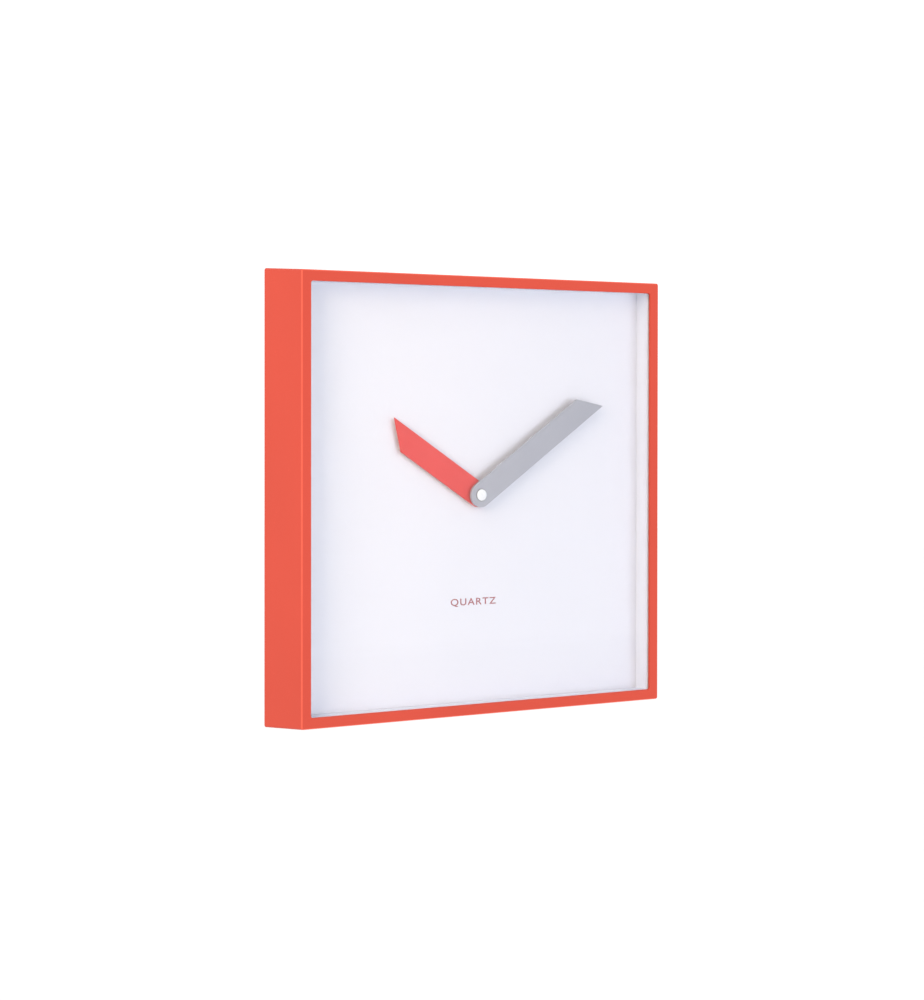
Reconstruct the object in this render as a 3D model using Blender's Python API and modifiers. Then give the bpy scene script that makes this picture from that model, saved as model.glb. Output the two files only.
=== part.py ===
"""Square box wall clock with a quartz movement, as an assembly of separate pieces.

Metres. +Z is up, +X is to the right as the clock is read, and +Y goes into the wall.
The origin is where the wall screw's shank meets the wall, so the clock hangs below it
and its rear rim lies in the plane y = 0.
"""
import math

import bmesh
import bpy
from mathutils import Matrix

MM = 0.001

# ---------------------------------------------------------------- driving sizes
DEPTH = 43.0 * MM  # front border to wall
HANG_DROP = 118.0 * MM  # wall screw above the hands' axis
FRONT_HALF = 147.5 * MM  # half the outline at the front border
REAR_HALF = 150.15 * MM  # half the outline at the wall
WALL = 4.2 * MM  # side walls of the frame
BORDER = 7.2 * MM  # front border
LIP = 1.8 * MM  # depth of the border's lip
CORNER_R = 1.5 * MM
EDGE_R = 0.45 * MM
GAP = 0.3 * MM  # between pieces that rest on each other
FIT = 0.35 * MM  # round a turning shaft

LENS_T = 2.0 * MM
LINER_T = 2.4 * MM
DIAL_FRONT = -26.0 * MM
DIAL_T = 2.0 * MM
PANEL_FRONT = -8.0 * MM
PANEL_BACK = -5.0 * MM

MINUTE_ANGLE = math.radians(56.0)  # clockwise from 12
HOUR_ANGLE = math.radians(302.0)
HAND_W = 16.7 * MM
HOUR_HAND_T = 1.1 * MM
MINUTE_HAND_T = 1.7 * MM
MINUTE_REACH = 120.8 * MM  # long edge of the slanted tip
HOUR_REACH = 85.9 * MM
MINUTE_HAND_Y = -33.1 * MM  # front face of each hand
HOUR_HAND_Y = -30.0 * MM

CASE_FRONT = -22.6 * MM  # movement case
CASE_HALF = 28.0 * MM
CASE_WALL = 1.2 * MM
CASE_SPLIT = -7.7 * MM
LID_FRONT = -7.4 * MM
LID_BACK = -5.4 * MM
BRIDGE_FRONT = (-17.3 * MM, -16.5 * MM)  # plate between motion work and train
BRIDGE_BACK = (-9.9 * MM, -9.0 * MM)  # plate behind the train
PLATE_LOW = -9.8 * MM  # both plates end above the battery bay
PLATE_HALF = 26.5 * MM
PILLAR_R = 1.6 * MM

BATTERY_R = 7.0 * MM
BATTERY_LEN = 49.2 * MM
NUB_R = 2.75 * MM
NUB_H = 1.0 * MM
BATTERY_Y = -13.0 * MM
BATTERY_Z = -18.4 * MM  # below the hands' axis
BAY_HALF_X = 25.9 * MM
BAY_WALL = 0.8 * MM

# gear layers, front and back face
HOUR_LAYER = (-20.3 * MM, -19.5 * MM)
MOTION_LAYER = (-18.7 * MM, -17.9 * MM)
TRAIN_1 = (-15.9 * MM, -15.2 * MM)
TRAIN_2 = (-14.2 * MM, -13.5 * MM)
TRAIN_3 = (-12.4 * MM, -11.7 * MM)
PINION_OVER = 0.3 * MM  # a pinion is this much longer than its wheel, each way

# tooth counts and modules, wheel then pinion
TRAIN_MODULE = 0.25 * MM
FIFTH_MODULE = 0.30 * MM
CANNON_MODULE = 0.45 * MM
HOUR_MODULE = 0.432 * MM
CENTRE_TEETH, THIRD_PINION = 64, 8
THIRD_TEETH, FOURTH_PINION = 60, 8
FOURTH_TEETH, FIFTH_PINION = 40, 8
FIFTH_TEETH, ROTOR_PINION = 48, 8
CANNON_TEETH, MINUTE_TEETH = 12, 36
MINUTE_PINION, HOUR_TEETH = 10, 40

# directions of the wheel centres, anticlockwise from +X as the clock is read
THIRD_DIR = math.radians(60)
FOURTH_DIR = math.radians(35)
FIFTH_DIR = math.radians(-45)
ROTOR_DIR = math.radians(-70)
MINUTE_DIR = math.radians(150)

ARBOR_R = 0.5 * MM
PIVOT_R = 0.35 * MM
PIVOT_HOLE_R = PIVOT_R + GAP

PANEL_HALF = 144.9 * MM
BLOCK_HALF = 143.6 * MM  # outer face of the corner and side blocks
BLOCK_FRONT = DIAL_FRONT + DIAL_T + GAP
BLOCK_BACK = PANEL_FRONT - GAP
CORNER_BLOCK = 16.0 * MM
SIDE_BLOCK = (24.0 * MM, 12.0 * MM)


# ---------------------------------------------------------------- scene and materials
for old in list(bpy.data.objects):
    bpy.data.objects.remove(old, do_unlink=True)

parts = bpy.data.collections.new("square_wall_clock")
cutters = bpy.data.collections.new("square_wall_clock_cutters")
bpy.context.scene.collection.children.link(parts)
bpy.context.scene.collection.children.link(cutters)


def finish(name, colour, roughness, metallic=0.0, transmission=0.0):
    """A plain Principled material."""
    mat = bpy.data.materials.new(name)
    mat.use_nodes = True
    shader = mat.node_tree.nodes["Principled BSDF"]
    shader.inputs["Base Color"].default_value = (*colour, 1.0)
    shader.inputs["Roughness"].default_value = roughness
    shader.inputs["Metallic"].default_value = metallic
    shader.inputs["Transmission Weight"].default_value = transmission
    mat.diffuse_color = (*colour, 1.0)
    return mat


CORAL = finish("coral_lacquer", (0.80, 0.095, 0.060), 0.38)
CLEAR = finish("clear_glass", (0.97, 0.98, 0.98), 0.03, transmission=1.0)
LINER_WHITE = finish("liner_white", (0.86, 0.85, 0.87), 0.50)
DIAL_WHITE = finish("dial_white", (0.90, 0.90, 0.92), 0.60)
HARDBOARD = finish("hardboard", (0.16, 0.095, 0.055), 0.75)
BLOCK_PLASTIC = finish("block_plastic", (0.70, 0.69, 0.66), 0.55)
ZINC = finish("zinc_steel", (0.62, 0.62, 0.60), 0.35, metallic=1.0)
BRASS = finish("brass", (0.72, 0.53, 0.25), 0.30, metallic=1.0)
RUBBER = finish("black_rubber", (0.02, 0.02, 0.02), 0.85)
CASE_BLACK = finish("case_black", (0.025, 0.025, 0.027), 0.45)
PLATE_NATURAL = finish("natural_acetal", (0.80, 0.79, 0.74), 0.45)
GEAR_WHITE = finish("gear_acetal", (0.85, 0.85, 0.82), 0.40)
MAGNET = finish("rotor_magnet", (0.05, 0.05, 0.055), 0.50)
COPPER = finish("coil_copper", (0.60, 0.22, 0.10), 0.35, metallic=1.0)
IRON = finish("stator_iron", (0.45, 0.45, 0.46), 0.40, metallic=1.0)
BOARD_GREEN = finish("board_green", (0.02, 0.18, 0.07), 0.40)
RESIN = finish("chip_resin", (0.012, 0.012, 0.012), 0.35)
CAN = finish("crystal_can", (0.75, 0.75, 0.74), 0.25, metallic=1.0)
CELL = finish("cell_jacket", (0.06, 0.10, 0.22), 0.35)
KNOB_GREY = finish("knob_grey", (0.30, 0.30, 0.31), 0.50)
HAND_CORAL = finish("hand_coral", (0.80, 0.10, 0.08), 0.42)
HAND_GREY = finish("hand_grey", (0.47, 0.48, 0.54), 0.42)
CAP_WHITE = finish("cap_white", (0.85, 0.85, 0.87), 0.30)


# ---------------------------------------------------------------- shape helpers
def circle(radius, x=0.0, z=0.0, count=24):
    """Points round a circle."""
    return [
        (x + radius * math.cos(math.tau * i / count), z + radius * math.sin(math.tau * i / count))
        for i in range(count)
    ]


def rounded_box(half_x, half_z, radius, x=0.0, z=0.0, count=3):
    """A rectangle about (x, z) with rounded corners."""
    points = []
    for corner, (sx, sz) in enumerate([(1, 1), (-1, 1), (-1, -1), (1, -1)]):
        for i in range(count + 1):
            angle = math.pi / 2 * (corner + i / count)
            points.append((
                x + sx * (half_x - radius) + radius * math.cos(angle),
                z + sz * (half_z - radius) + radius * math.sin(angle),
            ))
    return points


# height above and depth below the pitch circle in modules, and root and tip width in pitches
WHEEL_TOOTH = (1.0, 1.2, 0.58, 0.16)
PINION_TOOTH = (0.8, 1.35, 0.42, 0.22)


def tooth_ring(teeth, module, phase, is_pinion):
    """A gear's outline: straight-flanked teeth, narrower at the tip than at the root."""
    addendum, dedendum, root, tip = PINION_TOOTH if is_pinion else WHEEL_TOOTH
    pitch_r = teeth * module / 2
    root_r = pitch_r - dedendum * module
    tip_r = pitch_r + addendum * module
    step = math.tau / teeth
    points = []
    for i in range(teeth):
        for radius, side in ((root_r, -root), (tip_r, -tip), (tip_r, tip), (root_r, root)):
            angle = phase + step * (i + side / 2)
            points.append((radius * math.cos(angle), radius * math.sin(angle)))
    return points


def move_to_plane(mesh, front, back):
    """Stand a flat outline drawn in XY up in the XZ plane, midway between two depths."""
    mesh.transform(Matrix.Translation((0, (front + back) / 2, 0)) @ Matrix.Rotation(math.pi / 2, 4, "X"))


def weld(mesh):
    """Join the loose ends of a mesh and point its faces outwards."""
    work = bmesh.new()
    work.from_mesh(mesh)
    bmesh.ops.remove_doubles(work, verts=work.verts, dist=1e-7)
    bmesh.ops.recalc_face_normals(work, faces=work.faces)
    work.to_mesh(mesh)
    work.free()


def baked(temporary):
    """The evaluated mesh of an object, which is then removed."""
    bpy.context.view_layer.update()
    graph = bpy.context.evaluated_depsgraph_get()
    mesh = bpy.data.meshes.new_from_object(temporary.evaluated_get(graph))
    bpy.data.objects.remove(temporary, do_unlink=True)
    weld(mesh)
    return mesh


def flat_mesh(outlines, thickness):
    """A flat plate in XY: the first outline is its edge and the others are holes."""
    curve = bpy.data.curves.new("outline", "CURVE")
    curve.dimensions = "2D"
    curve.fill_mode = "BOTH"
    curve.extrude = thickness / 2
    for outline in outlines:
        spline = curve.splines.new("POLY")
        spline.points.add(len(outline) - 1)
        for point, (u, v) in zip(spline.points, outline):
            point.co = (u, v, 0, 1)
        spline.use_cyclic_u = True
    temporary = bpy.data.objects.new("outline", curve)
    parts.objects.link(temporary)
    return baked(temporary)


def plate(outlines, front, back):
    """A plate that faces the reader, between two depths."""
    mesh = flat_mesh(outlines, abs(back - front))
    move_to_plane(mesh, front, back)
    return mesh


def turned(profile, x=0.0, z=0.0, steps=24, is_ring=False):
    """A profile of (radius, depth), from the front to the back, turned about a Y axis."""
    mesh = bpy.data.meshes.new("profile")
    verts = [(radius, 0, -depth) for radius, depth in profile]
    edges = [(i, i + 1) for i in range(len(verts) - 1)]
    if is_ring:
        edges.append((len(verts) - 1, 0))
    mesh.from_pydata(verts, edges, [])
    temporary = bpy.data.objects.new("profile", mesh)
    parts.objects.link(temporary)
    screw = temporary.modifiers.new("turn", "SCREW")
    screw.steps = steps
    screw.render_steps = steps
    screw.use_merge_vertices = True
    screw.merge_threshold = 1e-6
    result = baked(temporary)
    result.transform(Matrix.Translation((x, 0, z)) @ Matrix.Rotation(math.pi / 2, 4, "X"))
    return result


def ring(inner, outer, front, back, x=0.0, z=0.0, steps=24):
    """A plain tube or washer."""
    profile = [(outer, front), (outer, back), (inner, back), (inner, front)]
    return turned(profile, x, z, steps, is_ring=True)


def block(low, high):
    """A box between two corners."""
    work = bmesh.new()
    bmesh.ops.create_cube(work, size=1.0)
    size = [b - a for a, b in zip(low, high)]
    middle = [(a + b) / 2 for a, b in zip(low, high)]
    placed = Matrix.Translation(middle) @ Matrix.Diagonal((*size, 1))
    bmesh.ops.transform(work, matrix=placed, verts=work.verts)
    mesh = bpy.data.meshes.new("block")
    work.to_mesh(mesh)
    work.free()
    return mesh


def flared_block(front, front_half, back, back_half, corner=0.0, count=3):
    """A square block whose sides flare from one depth to another, with its long edges rounded."""
    work = bmesh.new()
    root2 = math.sqrt(2)
    bmesh.ops.create_cone(
        work,
        cap_ends=True,
        segments=4,
        radius1=back_half * root2,
        radius2=front_half * root2,
        depth=back - front,
    )
    bmesh.ops.rotate(work, matrix=Matrix.Rotation(math.pi / 4, 3, "Z"), verts=work.verts)
    if corner:
        long_edges = [e for e in work.edges if abs(e.verts[0].co.z - e.verts[1].co.z) > 1e-6]
        bmesh.ops.bevel(
            work, geom=long_edges, offset=corner, segments=count, profile=0.5, affect="EDGES", material=-1
        )
    mesh = bpy.data.meshes.new("flared_block")
    work.to_mesh(mesh)
    work.free()
    move_to_plane(mesh, front, back)
    return mesh


def soften(mesh, depth, offset, count=2):
    """Round the outer edges of a mesh that lie at one depth."""
    work = bmesh.new()
    work.from_mesh(mesh)
    rim = [e for e in work.edges if all(abs(v.co.y - depth) < 1e-6 for v in e.verts)]
    rim = [e for e in rim if e.calc_face_angle(0) > 0.5]
    bmesh.ops.bevel(work, geom=rim, offset=offset, segments=count, profile=0.5, affect="EDGES", material=-1)
    work.to_mesh(mesh)
    work.free()


def shade(mesh):
    """Smooth shading with the real edges kept sharp."""
    mesh.polygons.foreach_set("use_smooth", [True] * len(mesh.polygons))
    mesh.set_sharp_from_angle(angle=math.radians(35))


def piece(name, mesh, material, centre=(0.0, 0.0), rides=None):
    """One finished sub-part. Its mesh is drawn about the hands' axis, which hangs below the hook."""
    mesh.name = name
    shade(mesh)
    mesh.materials.clear()
    mesh.materials.append(material)
    made = bpy.data.objects.new(name, mesh)
    parts.objects.link(made)
    made.location = (centre[0], 0, centre[1] - HANG_DROP)
    if rides:
        made.parent = rides
        made.location = (centre[0] - rides.location.x, 0, centre[1] - HANG_DROP - rides.location.z)
    return made


def tool(mesh, centre=(0.0, 0.0)):
    """A hidden solid that is added to or taken from a sub-part."""
    made = bpy.data.objects.new("cutter", mesh)
    cutters.objects.link(made)
    made.location = (centre[0], 0, centre[1] - HANG_DROP)
    made.hide_render = True
    made.display_type = "WIRE"
    return made


def combine(target, mesh, operation, centre=(0.0, 0.0)):
    """Add a solid to a sub-part with UNION, or cut it away with DIFFERENCE."""
    boolean = target.modifiers.new(operation.lower(), "BOOLEAN")
    boolean.operation = operation
    boolean.solver = "EXACT"
    boolean.object = tool(mesh, centre)


def axis_empty(name, x, z):
    """An empty on a turning axis, which the pieces that turn there hang from."""
    empty = bpy.data.objects.new(name, None)
    parts.objects.link(empty)
    empty.location = (x, 0, z - HANG_DROP)
    return empty


# ---------------------------------------------------------------- frame, lens, liner and dial
def cavity_half(depth):
    """Half the width inside the side walls, at a depth."""
    share = (depth + DEPTH) / DEPTH
    return FRONT_HALF + (REAR_HALF - FRONT_HALF) * share - WALL


frame_mesh = flared_block(-DEPTH, FRONT_HALF, 0.0, REAR_HALF, CORNER_R)
soften(frame_mesh, -DEPTH, EDGE_R)
soften(frame_mesh, 0.0, EDGE_R)
frame = piece("frame", frame_mesh, CORAL)
lip_back = -DEPTH + LIP
past = 2 * MM  # cutters run past the faces that they open
opening_half = FRONT_HALF - BORDER
combine(frame, flared_block(-DEPTH - past, opening_half, -past * 2, opening_half, 0.8 * MM), "DIFFERENCE")
combine(
    frame,
    flared_block(lip_back, cavity_half(lip_back), past, cavity_half(past), CORNER_R),
    "DIFFERENCE",
)

lens_front = lip_back + GAP
lens_back = lens_front + LENS_T
lens_half = cavity_half(lens_front) - GAP
piece("glass_lens", plate([rounded_box(lens_half, lens_half, 2 * MM)], lens_front, lens_back), CLEAR)

liner_front = lens_back + GAP
liner_back = DIAL_FRONT - GAP
liner_inner = opening_half + GAP
liner_outer = liner_inner + LINER_T
liner_rings = [
    rounded_box(liner_outer, liner_outer, 2 * MM),
    rounded_box(liner_inner, liner_inner, 1 * MM),
]
piece("dial_liner", plate(liner_rings, liner_front, liner_back), LINER_WHITE)

BUSH_R = 4.0 * MM
dial_half = cavity_half(DIAL_FRONT) - GAP
dial_rings = [rounded_box(dial_half, dial_half, 1.5 * MM), circle(BUSH_R + GAP)]
piece("dial_plate", plate(dial_rings, DIAL_FRONT, DIAL_FRONT + DIAL_T), DIAL_WHITE)

# ---------------------------------------------------------------- back panel, blocks and screws
PANEL_SCREW_R = 1.4 * MM
SCREW_HOLE_R = PANEL_SCREW_R + GAP
corner_at = BLOCK_HALF - CORNER_BLOCK / 2
side_at = BLOCK_HALF - SIDE_BLOCK[1] / 2
corner_spots = {
    "top_left": (-corner_at, corner_at),
    "top_right": (corner_at, corner_at),
    "bottom_left": (-corner_at, -corner_at),
    "bottom_right": (corner_at, -corner_at),
}
side_spots = {"top": (0, side_at), "bottom": (0, -side_at), "left": (-side_at, 0), "right": (side_at, 0)}

HANGER_Z = HANG_DROP  # slot end, above the hands' axis
HANGER_SCREW_X = 16.0 * MM
HANGER_SCREW_Z = HANGER_Z - 3.0 * MM
HANGER_SCREW_R = 1.1 * MM
HANGER_FRONT = PANEL_BACK + GAP
HANGER_T = 1.0 * MM
WINDOW_HALF = CASE_HALF + 2.0 * MM

panel_holes = [rounded_box(WINDOW_HALF, WINDOW_HALF, 3 * MM)]
panel_holes.append(rounded_box(7 * MM, 11.5 * MM, 2 * MM, z=HANGER_Z - 4.5 * MM))
panel_holes += [circle(SCREW_HOLE_R, x, z, 12) for x, z in corner_spots.values()]
panel_holes += [circle(SCREW_HOLE_R, x, z, 12) for x, z in side_spots.values()]
panel_holes += [circle(HANGER_SCREW_R + GAP, s * HANGER_SCREW_X, HANGER_SCREW_Z, 12) for s in (-1, 1)]
panel_edge = rounded_box(PANEL_HALF, PANEL_HALF, 2 * MM)
piece("back_panel", plate([panel_edge] + panel_holes, PANEL_FRONT, PANEL_BACK), HARDBOARD)


def fixing_block(name, half_x, half_z, spot):
    """A block glued inside the frame, drilled for the screw that holds the back panel."""
    outlines = [rounded_box(half_x, half_z, 1 * MM), circle(SCREW_HOLE_R, count=12)]
    piece(name, plate(outlines, BLOCK_FRONT, BLOCK_BACK), BLOCK_PLASTIC, spot)


def pan_screw(shank_r, head_r, seat, head_h, length, steps=12):
    """A pan-head screw seen as a profile: domed head, shank and a blunt point."""
    point = 1.5 * shank_r
    profile = [
        (0, seat - length),
        (shank_r * 0.3, seat - length),
        (shank_r, seat - length + point),
        (shank_r, seat),
        (head_r, seat),
        (head_r, seat + head_h * 0.4),
        (head_r * 0.72, seat + head_h * 0.88),
        (head_r * 0.3, seat + head_h),
        (0, seat + head_h),
    ]
    return turned(profile, steps=steps)


def cross_slot(ob, centre, reach, width, floor):
    """Cut the driver's cross in a screw head."""
    for half_x, half_z in ((reach, width / 2), (width / 2, reach)):
        combine(ob, block((-half_x, floor, -half_z), (half_x, past, half_z)), "DIFFERENCE", centre)


def screws(prefix, spots, mesh, reach, width, floor):
    """A set of screws that share one mesh, each an object of its own."""
    for label, spot in spots.items():
        made = piece(f"{prefix}_{label}", mesh, ZINC, spot)
        cross_slot(made, spot, reach, width, floor)


for label, spot in corner_spots.items():
    fixing_block(f"corner_block_{label}", CORNER_BLOCK / 2, CORNER_BLOCK / 2, spot)
for label, spot in side_spots.items():
    wide, tall = SIDE_BLOCK if label in ("top", "bottom") else SIDE_BLOCK[::-1]
    fixing_block(f"side_block_{label}", wide / 2, tall / 2, spot)

PANEL_HEAD_H = 1.8 * MM
panel_screw = pan_screw(PANEL_SCREW_R, 3.2 * MM, PANEL_BACK + GAP, PANEL_HEAD_H, 11 * MM)
slot_floor = PANEL_BACK + GAP + 0.7 * MM
screws("panel_screw", {**corner_spots, **side_spots}, panel_screw, 1.7 * MM, 0.7 * MM, slot_floor)

# ---------------------------------------------------------------- keyhole hanger
SLOT_R = 2.3 * MM
ENTRY_R = 4.6 * MM
ENTRY_DROP = 11.0 * MM


def keyhole_outline():
    """A slot with a round top at the wall screw, opening into a wider hole below."""
    meet = math.asin(SLOT_R / ENTRY_R)
    top = [(SLOT_R * math.cos(a), SLOT_R * math.sin(a)) for a in (math.pi * i / 8 for i in range(9))]
    start = math.pi / 2 + meet
    sweep = math.tau - 2 * meet
    entry = [start + sweep * i / 20 for i in range(21)]
    low = [(ENTRY_R * math.cos(a), ENTRY_R * math.sin(a) - ENTRY_DROP) for a in entry]
    return [(x, z + HANGER_Z) for x, z in top + low]


hanger_edge = rounded_box(22 * MM, 13.5 * MM, 3 * MM, z=HANGER_Z - 4.5 * MM)
hanger_holes = [circle(HANGER_SCREW_R + GAP, s * HANGER_SCREW_X, HANGER_SCREW_Z, 12) for s in (-1, 1)]
hanger_outlines = [hanger_edge, keyhole_outline()] + hanger_holes
piece("hanger_plate", plate(hanger_outlines, HANGER_FRONT, HANGER_FRONT + HANGER_T), ZINC)

hanger_seat = HANGER_FRONT + HANGER_T + GAP
hanger_screw = pan_screw(HANGER_SCREW_R, 2.4 * MM, hanger_seat, 1.2 * MM, 4.4 * MM)
hanger_spots = {
    "left": (-HANGER_SCREW_X, HANGER_SCREW_Z),
    "right": (HANGER_SCREW_X, HANGER_SCREW_Z),
}
screws("hanger_screw", hanger_spots, hanger_screw, 1.3 * MM, 0.6 * MM, hanger_seat + 0.5 * MM)

# ---------------------------------------------------------------- wheel centres
def beside(centre, direction, module, first, second):
    """The centre of a gear that meshes with another, along a direction."""
    distance = module * (first + second) / 2
    return (centre[0] + distance * math.cos(direction), centre[1] + distance * math.sin(direction))


CENTRE = (0.0, 0.0)
THIRD = beside(CENTRE, THIRD_DIR, TRAIN_MODULE, CENTRE_TEETH, THIRD_PINION)
FOURTH = beside(THIRD, FOURTH_DIR, TRAIN_MODULE, THIRD_TEETH, FOURTH_PINION)
FIFTH = beside(FOURTH, FIFTH_DIR, FIFTH_MODULE, FOURTH_TEETH, FIFTH_PINION)
ROTOR = beside(FIFTH, ROTOR_DIR, TRAIN_MODULE, FIFTH_TEETH, ROTOR_PINION)
MINUTE = beside(CENTRE, MINUTE_DIR, CANNON_MODULE, CANNON_TEETH, MINUTE_TEETH)

minute_axis = axis_empty("minute_axis", *CENTRE)
hour_axis = axis_empty("hour_axis", *CENTRE)
motion_axis = axis_empty("motion_axis", *MINUTE)
third_axis = axis_empty("third_axis", *THIRD)
fourth_axis = axis_empty("fourth_axis", *FOURTH)
fifth_axis = axis_empty("fifth_axis", *FIFTH)
rotor_axis = axis_empty("rotor_axis", *ROTOR)

# ---------------------------------------------------------------- movement case and plates
PILLARS = [(-24.5 * MM, 24.0 * MM), (24.5 * MM, 24.0 * MM), (-24.5 * MM, -7.5 * MM)]
case_inner = CASE_HALF - CASE_WALL
case_floor = CASE_FRONT + CASE_WALL

front_case_mesh = plate([rounded_box(CASE_HALF, CASE_HALF, 2 * MM)], CASE_FRONT, CASE_SPLIT)
front_case = piece("movement_front_case", front_case_mesh, CASE_BLACK)
case_room = plate([rounded_box(case_inner, case_inner, 1 * MM)], case_floor, CASE_SPLIT + past)
combine(front_case, case_room, "DIFFERENCE")
for spot in PILLARS:
    pillar = plate([circle(PILLAR_R, count=12)], case_floor - CASE_WALL / 2, BRIDGE_BACK[1] - GAP)
    combine(front_case, pillar, "UNION", spot)
combine(front_case, plate([circle(BUSH_R + GAP)], CASE_FRONT - past, case_floor + past), "DIFFERENCE")

bay_low = BATTERY_Z - BATTERY_R - GAP
bay_high = BATTERY_Z + BATTERY_R + GAP
bay_floor = BATTERY_Y - BATTERY_R - GAP
STEM_R = 1.5 * MM
WINDOW_X = 26.2 * MM
back_case_mesh = plate([rounded_box(CASE_HALF, CASE_HALF, 2 * MM)], LID_FRONT, LID_BACK)
back_case = piece("movement_back_case", back_case_mesh, CASE_BLACK)
bay_outer = block(
    (-BAY_HALF_X, bay_floor - BAY_WALL, bay_low - BAY_WALL),
    (BAY_HALF_X, LID_FRONT + BAY_WALL, bay_high + BAY_WALL),
)
combine(back_case, bay_outer, "UNION")
bay_inner = block((-WINDOW_X, bay_floor, bay_low), (WINDOW_X, past, bay_high))
combine(back_case, bay_inner, "DIFFERENCE")
stem_hole = plate([circle(STEM_R + FIT, count=16)], LID_FRONT - past, LID_BACK + past)
combine(back_case, stem_hole, "DIFFERENCE", MINUTE)

plate_mid_z = (PLATE_HALF + PLATE_LOW) / 2
plate_edge = rounded_box(PLATE_HALF, (PLATE_HALF - PLATE_LOW) / 2, 1 * MM, z=plate_mid_z)
pillar_holes = [circle(PILLAR_R + GAP, x, z, 12) for x, z in PILLARS]
pivot_holes = [circle(PIVOT_HOLE_R, x, z, 12) for x, z in (THIRD, FOURTH, FIFTH, ROTOR)]
MINUTE_ARBOR_R = 0.65 * MM
CENTRE_NECK_R = 0.95 * MM
minute_hole = circle(MINUTE_ARBOR_R + FIT, *MINUTE, 12)
front_holes = pillar_holes + pivot_holes + [minute_hole, circle(CENTRE_NECK_R + FIT, count=16)]
back_holes = pillar_holes + pivot_holes + [minute_hole, circle(PIVOT_HOLE_R, count=12)]
piece("middle_plate", plate([plate_edge] + front_holes, *BRIDGE_FRONT), PLATE_NATURAL)
piece("bearing_plate", plate([plate_edge] + back_holes, *BRIDGE_BACK), PLATE_NATURAL)

# ---------------------------------------------------------------- bush, washers and nut
BUSH_BORE_R = 2.9 * MM
BUSH_FRONT = -28.6 * MM
FLANGE_R = 5.5 * MM
flange_front = case_floor + GAP
bush_profile = [
    (BUSH_R - 0.3 * MM, BUSH_FRONT),
    (BUSH_R, BUSH_FRONT + 0.3 * MM),
    (BUSH_R, flange_front),
    (FLANGE_R, flange_front),
    (FLANGE_R, flange_front + 0.4 * MM),
    (BUSH_BORE_R, flange_front + 0.4 * MM),
    (BUSH_BORE_R, BUSH_FRONT),
]
piece("threaded_bush", turned(bush_profile, steps=24, is_ring=True), BRASS)
washer_back = CASE_FRONT - GAP
piece("rubber_washer", ring(BUSH_R + GAP, 9 * MM, DIAL_FRONT + DIAL_T + GAP, washer_back), RUBBER)
washer_front = DIAL_FRONT - GAP - 0.5 * MM
piece("brass_washer", ring(BUSH_R + GAP, 6.6 * MM, washer_front, DIAL_FRONT - GAP), BRASS)
NUT_FLATS = 5.5 * MM
NUT_T = 1.3 * MM
nut_outlines = [circle(NUT_FLATS / math.cos(math.pi / 6), count=6), circle(BUSH_R + GAP)]
nut_back = washer_front - GAP
piece("hex_nut", plate(nut_outlines, nut_back - NUT_T, nut_back), BRASS)


# ---------------------------------------------------------------- gears
def toothed(teeth, module, towards, layer, is_pinion=False, extra=0.0, hole=0.0):
    """A gear with a tooth, or on a pinion a gap, on the line to the gear that it meshes with."""
    phase = towards + (math.pi / teeth if is_pinion else 0.0)
    outlines = [tooth_ring(teeth, module, phase, is_pinion)]
    if hole:
        outlines.append(circle(hole, count=16))
    return plate(outlines, layer[0] - extra, layer[1] + extra)


def arbor(front_pivot, front_shoulder, back_shoulder, back_pivot):
    """A train wheel's arbor with a thinner pivot at each end."""
    profile = [
        (0, front_pivot),
        (PIVOT_R, front_pivot),
        (PIVOT_R, front_shoulder),
        (ARBOR_R, front_shoulder),
        (ARBOR_R, back_shoulder),
        (PIVOT_R, back_shoulder),
        (PIVOT_R, back_pivot),
        (0, back_pivot),
    ]
    return turned(profile, steps=12)


def train_wheel(name, centre, wheel_mesh, pinion_mesh, axis, material=GEAR_WHITE):
    """A wheel and its pinion moulded on one arbor."""
    made = piece(name, wheel_mesh, material, centre, axis)
    combine(made, pinion_mesh, "UNION", centre)
    shaft = arbor(
        BRIDGE_FRONT[0] + 0.2 * MM, BRIDGE_FRONT[1] + GAP, BRIDGE_BACK[0] - GAP, BRIDGE_BACK[1] - 0.2 * MM
    )
    combine(made, shaft, "UNION", centre)


BACKWARDS = math.pi
train_wheel(
    "third_wheel",
    THIRD,
    toothed(THIRD_TEETH, TRAIN_MODULE, FOURTH_DIR, TRAIN_2),
    toothed(THIRD_PINION, TRAIN_MODULE, THIRD_DIR + BACKWARDS, TRAIN_1, True, PINION_OVER),
    third_axis,
)
train_wheel(
    "fourth_wheel",
    FOURTH,
    toothed(FOURTH_TEETH, FIFTH_MODULE, FIFTH_DIR, TRAIN_3),
    toothed(FOURTH_PINION, TRAIN_MODULE, FOURTH_DIR + BACKWARDS, TRAIN_2, True, PINION_OVER),
    fourth_axis,
)
train_wheel(
    "fifth_wheel",
    FIFTH,
    toothed(FIFTH_TEETH, TRAIN_MODULE, ROTOR_DIR, TRAIN_1),
    toothed(FIFTH_PINION, FIFTH_MODULE, FIFTH_DIR + BACKWARDS, TRAIN_3, True, PINION_OVER),
    fifth_axis,
)
MAGNET_R = 2.2 * MM
MAGNET_Y = (-14.0 * MM, -12.2 * MM)
train_wheel(
    "rotor",
    ROTOR,
    plate([circle(MAGNET_R, count=20)], *MAGNET_Y),
    toothed(ROTOR_PINION, TRAIN_MODULE, ROTOR_DIR + BACKWARDS, TRAIN_1, True, PINION_OVER),
    rotor_axis,
    MAGNET,
)

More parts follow.
